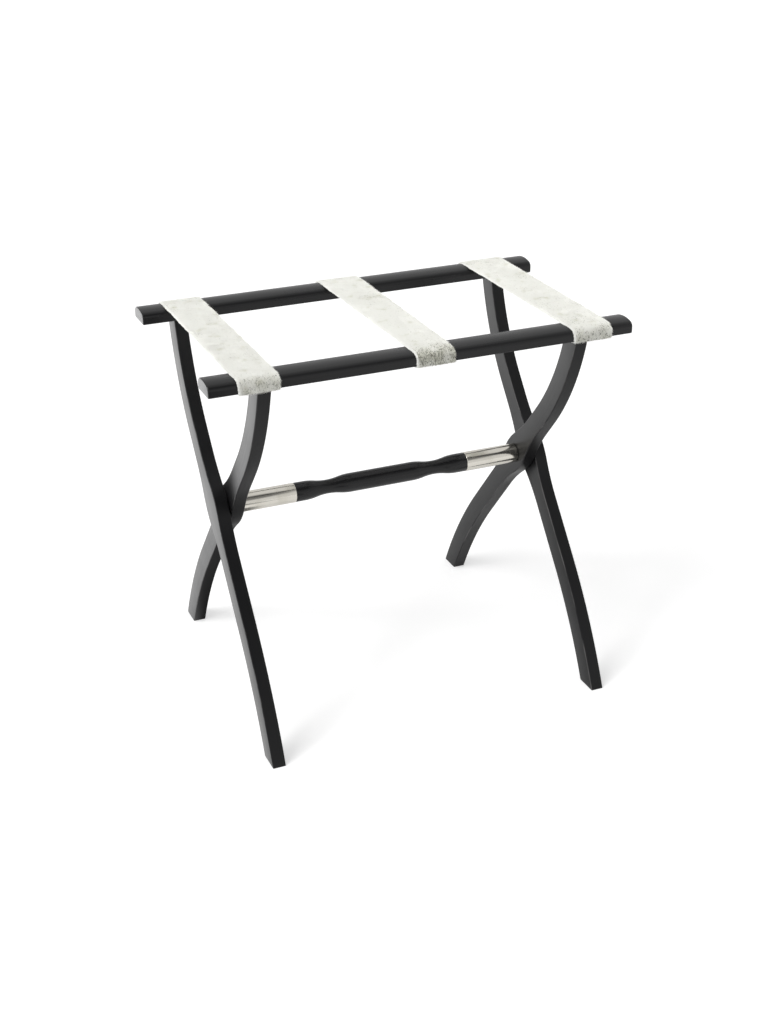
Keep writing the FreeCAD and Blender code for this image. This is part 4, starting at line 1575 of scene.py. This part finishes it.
@dataclass
class Studio:
    """Pale floor, soft light and the camera."""

    lens: float = 56.1
    sensor: float = 36.0
    camera_place: Place = (-0.8320, -1.9438, 1.2789)
    camera_yaw: float = 0.4069
    camera_pitch: float = 0.4580
    floor_size: float = 60.0
    floor_tone: float = 0.72
    floor_glow: float = 0.48
    # Painted shade under the bench, seen in reflections alone: its depth and where it lies.
    floor_shade: float = 0.28
    shade_left: Point = (-0.25, -0.21)
    shade_right: Point = (-0.15, -0.11)
    shade_front: Point = (-0.30, -0.15)
    shade_back: Point = (0.10, 0.17)
    back_step: Point = (-0.16, -0.12)
    back_reach: float = 0.25
    # Painted shade on the floor in front of the bench, seen in reflections alone.
    front_shade_y: Point = (-0.95, -0.75)
    front_shade_x: Point = (-0.05, 0.35)
    # Painted glow of the floor, seen in reflections alone: its levels and where they change.
    painted_glow_levels: Point = (1.80, 0.95)
    glow_rise: Point = (-0.62, -0.28)
    glow_end: Point = (-0.24, -0.14)
    painted_glow_right: float = 0.21
    sky: float = 0.50
    ceiling: Place = (0.10, -0.62, 0.78)
    ceiling_edge: Point = (0.86, 0.97)
    ceiling_tones: Point = (0.72, 0.20)
    lamps: tuple[Lamp, ...] = (
        Lamp("key", (-0.75, -0.15, 0.64), 1.85, 45.0),
        Lamp("spark", (-0.75, -0.15, 0.64), 0.32, 9.0),
    )

    def build_floor(self) -> None:
        """Makes the floor: white with the bench's shadow to the eye; in reflections alone it
        carries a painted shade under and in front of the bench, and a painted glow beside it."""
        half = self.floor_size / 2
        mesh = bpy.data.meshes.new("floor")
        mesh.from_pydata([(-half, -half, 0.0), (half, -half, 0.0), (half, half, 0.0),
                          (-half, half, 0.0)], [], [(0, 1, 2, 3)])
        wiring = Wiring("floor")
        paper = wiring.noise(wiring.place((1.0, 1.0, 1.0)), 900.0, 2.0)
        path = wiring.node("LightPath").outputs
        x, y, _ = wiring.node("SeparateXYZ", {0: wiring.place((1.0, 1.0, 1.0))}).outputs
        # Painted shade, seen in reflections alone: the floor darkens under the bench, standing in
        # for the bench's shadow.
        under = path["Is Glossy Ray"]
        back = wiring.sum(y, wiring.between(x, *self.back_step, self.back_reach, 0.0), "SUBTRACT")
        for fade in (wiring.between(x, *self.shade_right, 1.0, 0.0),
                     wiring.between(x, *self.shade_left),
                     wiring.between(back, *self.shade_back, 1.0, 0.0),
                     wiring.between(y, *self.shade_front)):
            under = wiring.sum(under, fade, "MULTIPLY")
        # Painted shade in front of the bench, for glossy rays alone.
        painted_front_shade = wiring.sum(wiring.between(y, *self.front_shade_y, 1.0, 0.0),
                          wiring.between(x, *self.front_shade_x, 1.0, 0.0), "MULTIPLY")
        painted_front_shade = wiring.sum(painted_front_shade, path["Is Glossy Ray"], "MULTIPLY")
        under = wiring.sum(under, painted_front_shade, "MAXIMUM")
        paint = wiring.mix(under, (self.floor_tone,) * 3,
                           (self.floor_tone * self.floor_shade,) * 3)
        matt = wiring.node("BsdfDiffuse", {"Color": paint,
                                           "Normal": wiring.bump(paper, 0.05, 0.1 * MM)})
        # Painted light, seen in reflections alone: the floor glows strongest left of the bench and
        # faintly to its right.
        painted_glow = wiring.sum(wiring.between(x, *self.glow_rise, *self.painted_glow_levels),
                          wiring.between(x, *self.glow_end, 1.0, self.painted_glow_right), "MULTIPLY")
        painted_glow = wiring.sum(painted_glow, path["Is Glossy Ray"], "MULTIPLY")
        seen = wiring.sum(path["Is Camera Ray"], path["Is Transmission Ray"], "MAXIMUM")
        bare = wiring.between(under, 0.0, 1.0, 1.0, 0.0)
        lit = wiring.sum(wiring.sum(seen, self.floor_glow, "MULTIPLY"),
                         wiring.sum(painted_glow, bare, "MULTIPLY"))
        glow = wiring.node("Emission", {"Strength": lit})
        both = wiring.node("AddShader", {0: matt.outputs[0], 1: glow.outputs[0]})
        wiring.node("OutputMaterial", {"Surface": both.outputs[0]})
        as_object(mesh, [wiring.material])

    def build_sky(self) -> None:
        """Makes the surroundings: white to the eye, an even soft light on the bench, and greyer
        in reflections, with a dim patch of ceiling in front of the bench."""
        wiring = SkyWiring("studio")
        bpy.context.scene.world = wiring.world
        direction = wiring.node("TexCoord").outputs["Generated"]
        ceiling = tuple(Vector(self.ceiling).normalized())
        facing = wiring.node("VectorMath", {0: direction, 1: ceiling}, operation="DOT_PRODUCT")
        mirror = wiring.between(facing.outputs["Value"], *self.ceiling_edge, *self.ceiling_tones)
        path = wiring.node("LightPath").outputs
        gloss = wiring.node("Mix", {0: path["Is Glossy Ray"], 2: self.sky, 3: mirror},
                            data_type="FLOAT")
        seen = wiring.sum(path["Is Camera Ray"], path["Is Transmission Ray"], "MAXIMUM")
        strength = wiring.node("Mix", {0: seen, 2: gloss.outputs[0], 3: 1.0}, data_type="FLOAT")
        background = wiring.node("Background", {"Color": (1.0, 1.0, 1.0, 1.0),
                                                "Strength": strength.outputs[0]})
        wiring.node("OutputWorld", {"Surface": background.outputs[0]})

    def build_lamps(self) -> None:
        """Hangs the lamps."""
        for lamp in self.lamps:
            light = bpy.data.lights.new(lamp.name, "SUN")
            light.energy = lamp.strength
            light.angle = math.radians(lamp.spread)
            holder = bpy.data.objects.new(lamp.name, light)
            holder.rotation_euler = Vector(lamp.direction).to_track_quat("Z", "Y").to_euler()
            bpy.context.scene.collection.objects.link(holder)

    def build_camera(self) -> None:
        """Sets up the camera in front of the bench's left end."""
        data = bpy.data.cameras.new("camera")
        data.lens = self.lens
        data.sensor_width = self.sensor
        camera = bpy.data.objects.new("camera", data)
        camera.location = self.camera_place
        camera.rotation_euler = (math.pi / 2 - self.camera_pitch, 0.0, -self.camera_yaw)
        bpy.context.scene.collection.objects.link(camera)
        bpy.context.scene.camera = camera

    def build(self) -> None:
        """Builds floor, light and camera."""
        bpy.context.scene.view_settings.view_transform = "Standard"
        self.build_floor()
        self.build_sky()
        self.build_lamps()
        self.build_camera()


STRAPS = {
    StrapPlace.LEFT: StrapEdges(rear_end=(-0.2708, -0.2124), rear_crown=(-0.2704, -0.2120),
                                front_crown=(-0.2685, -0.2109), front_end=(-0.2635, -0.2085)),
    StrapPlace.MIDDLE: StrapEdges(rear_end=(-0.0325, 0.0310), rear_crown=(-0.0313, 0.0314),
                                  front_crown=(-0.0239, 0.0336), front_end=(-0.0190, 0.0362)),
    StrapPlace.RIGHT: StrapEdges(rear_end=(0.2000, 0.2670), rear_crown=(0.2009, 0.2676),
                                 front_crown=(0.2087, 0.2700), front_end=(0.2160, 0.2722)),
}


PEPPERED = {
    StrapPlace.LEFT: Peppering(share=0.17, start=46.0 * MM, depth=0.50),
    StrapPlace.MIDDLE: Peppering(share=0.27, start=54.0 * MM, depth=0.68),
    StrapPlace.RIGHT: Peppering(share=0.17, start=44.0 * MM, depth=0.70),
}


def main() -> None:
    """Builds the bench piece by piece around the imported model."""
    logging.basicConfig(level=logging.INFO, format="%(name)s %(message)s")
    for item in list(bpy.data.objects):
        bpy.data.objects.remove(item)
    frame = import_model()

    low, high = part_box("rear_rail")
    section = RailSection(half_width=(high.y - low.y) / 2, height=high.z - low.z)
    pivot_height = frame["joints"][0]["pos_m"][2]
    curve = LegCurve(pivot_height=pivot_height, top=low.z)
    lacquer = BlackLacquer(polish=0.15).material()
    flatter_lacquer = BlackLacquer(index=1.36, gloss=0.35).material()
    turned_lacquer = BlackLacquer(gloss=0.25).material()
    hide = HairOnHide()

    Rail(End.REAR, Frame.OUTER, section, lacquer).build()
    Rail(End.FRONT, Frame.INNER, section, lacquer).build()
    for leg_frame in Frame:
        for side in Side:
            OgeeLeg(side, leg_frame, curve, flatter_lacquer).build()
    HandleRod(pivot_height, turned_lacquer, PolishedNickel().material()).build()
    coat = HairCoat(hide.hair_material())
    hair_side, flesh_side = hide.hide_material(), FleshSide().material()
    for seed, (place, edges) in enumerate(STRAPS.items(), start=11):
        HideStrap(place, edges, section, hair_side, flesh_side, coat, PEPPERED[place],
                  seed).build()
    blued = BLUED_STEEL.material()
    CutTacks(End.REAR, Frame.OUTER, blued).build()
    CutTacks(End.FRONT, Frame.INNER, blued).build()
    HiddenFittings(frame["nodes"]).dress()
    Studio().build()


if __name__ == "__main__":
    main()
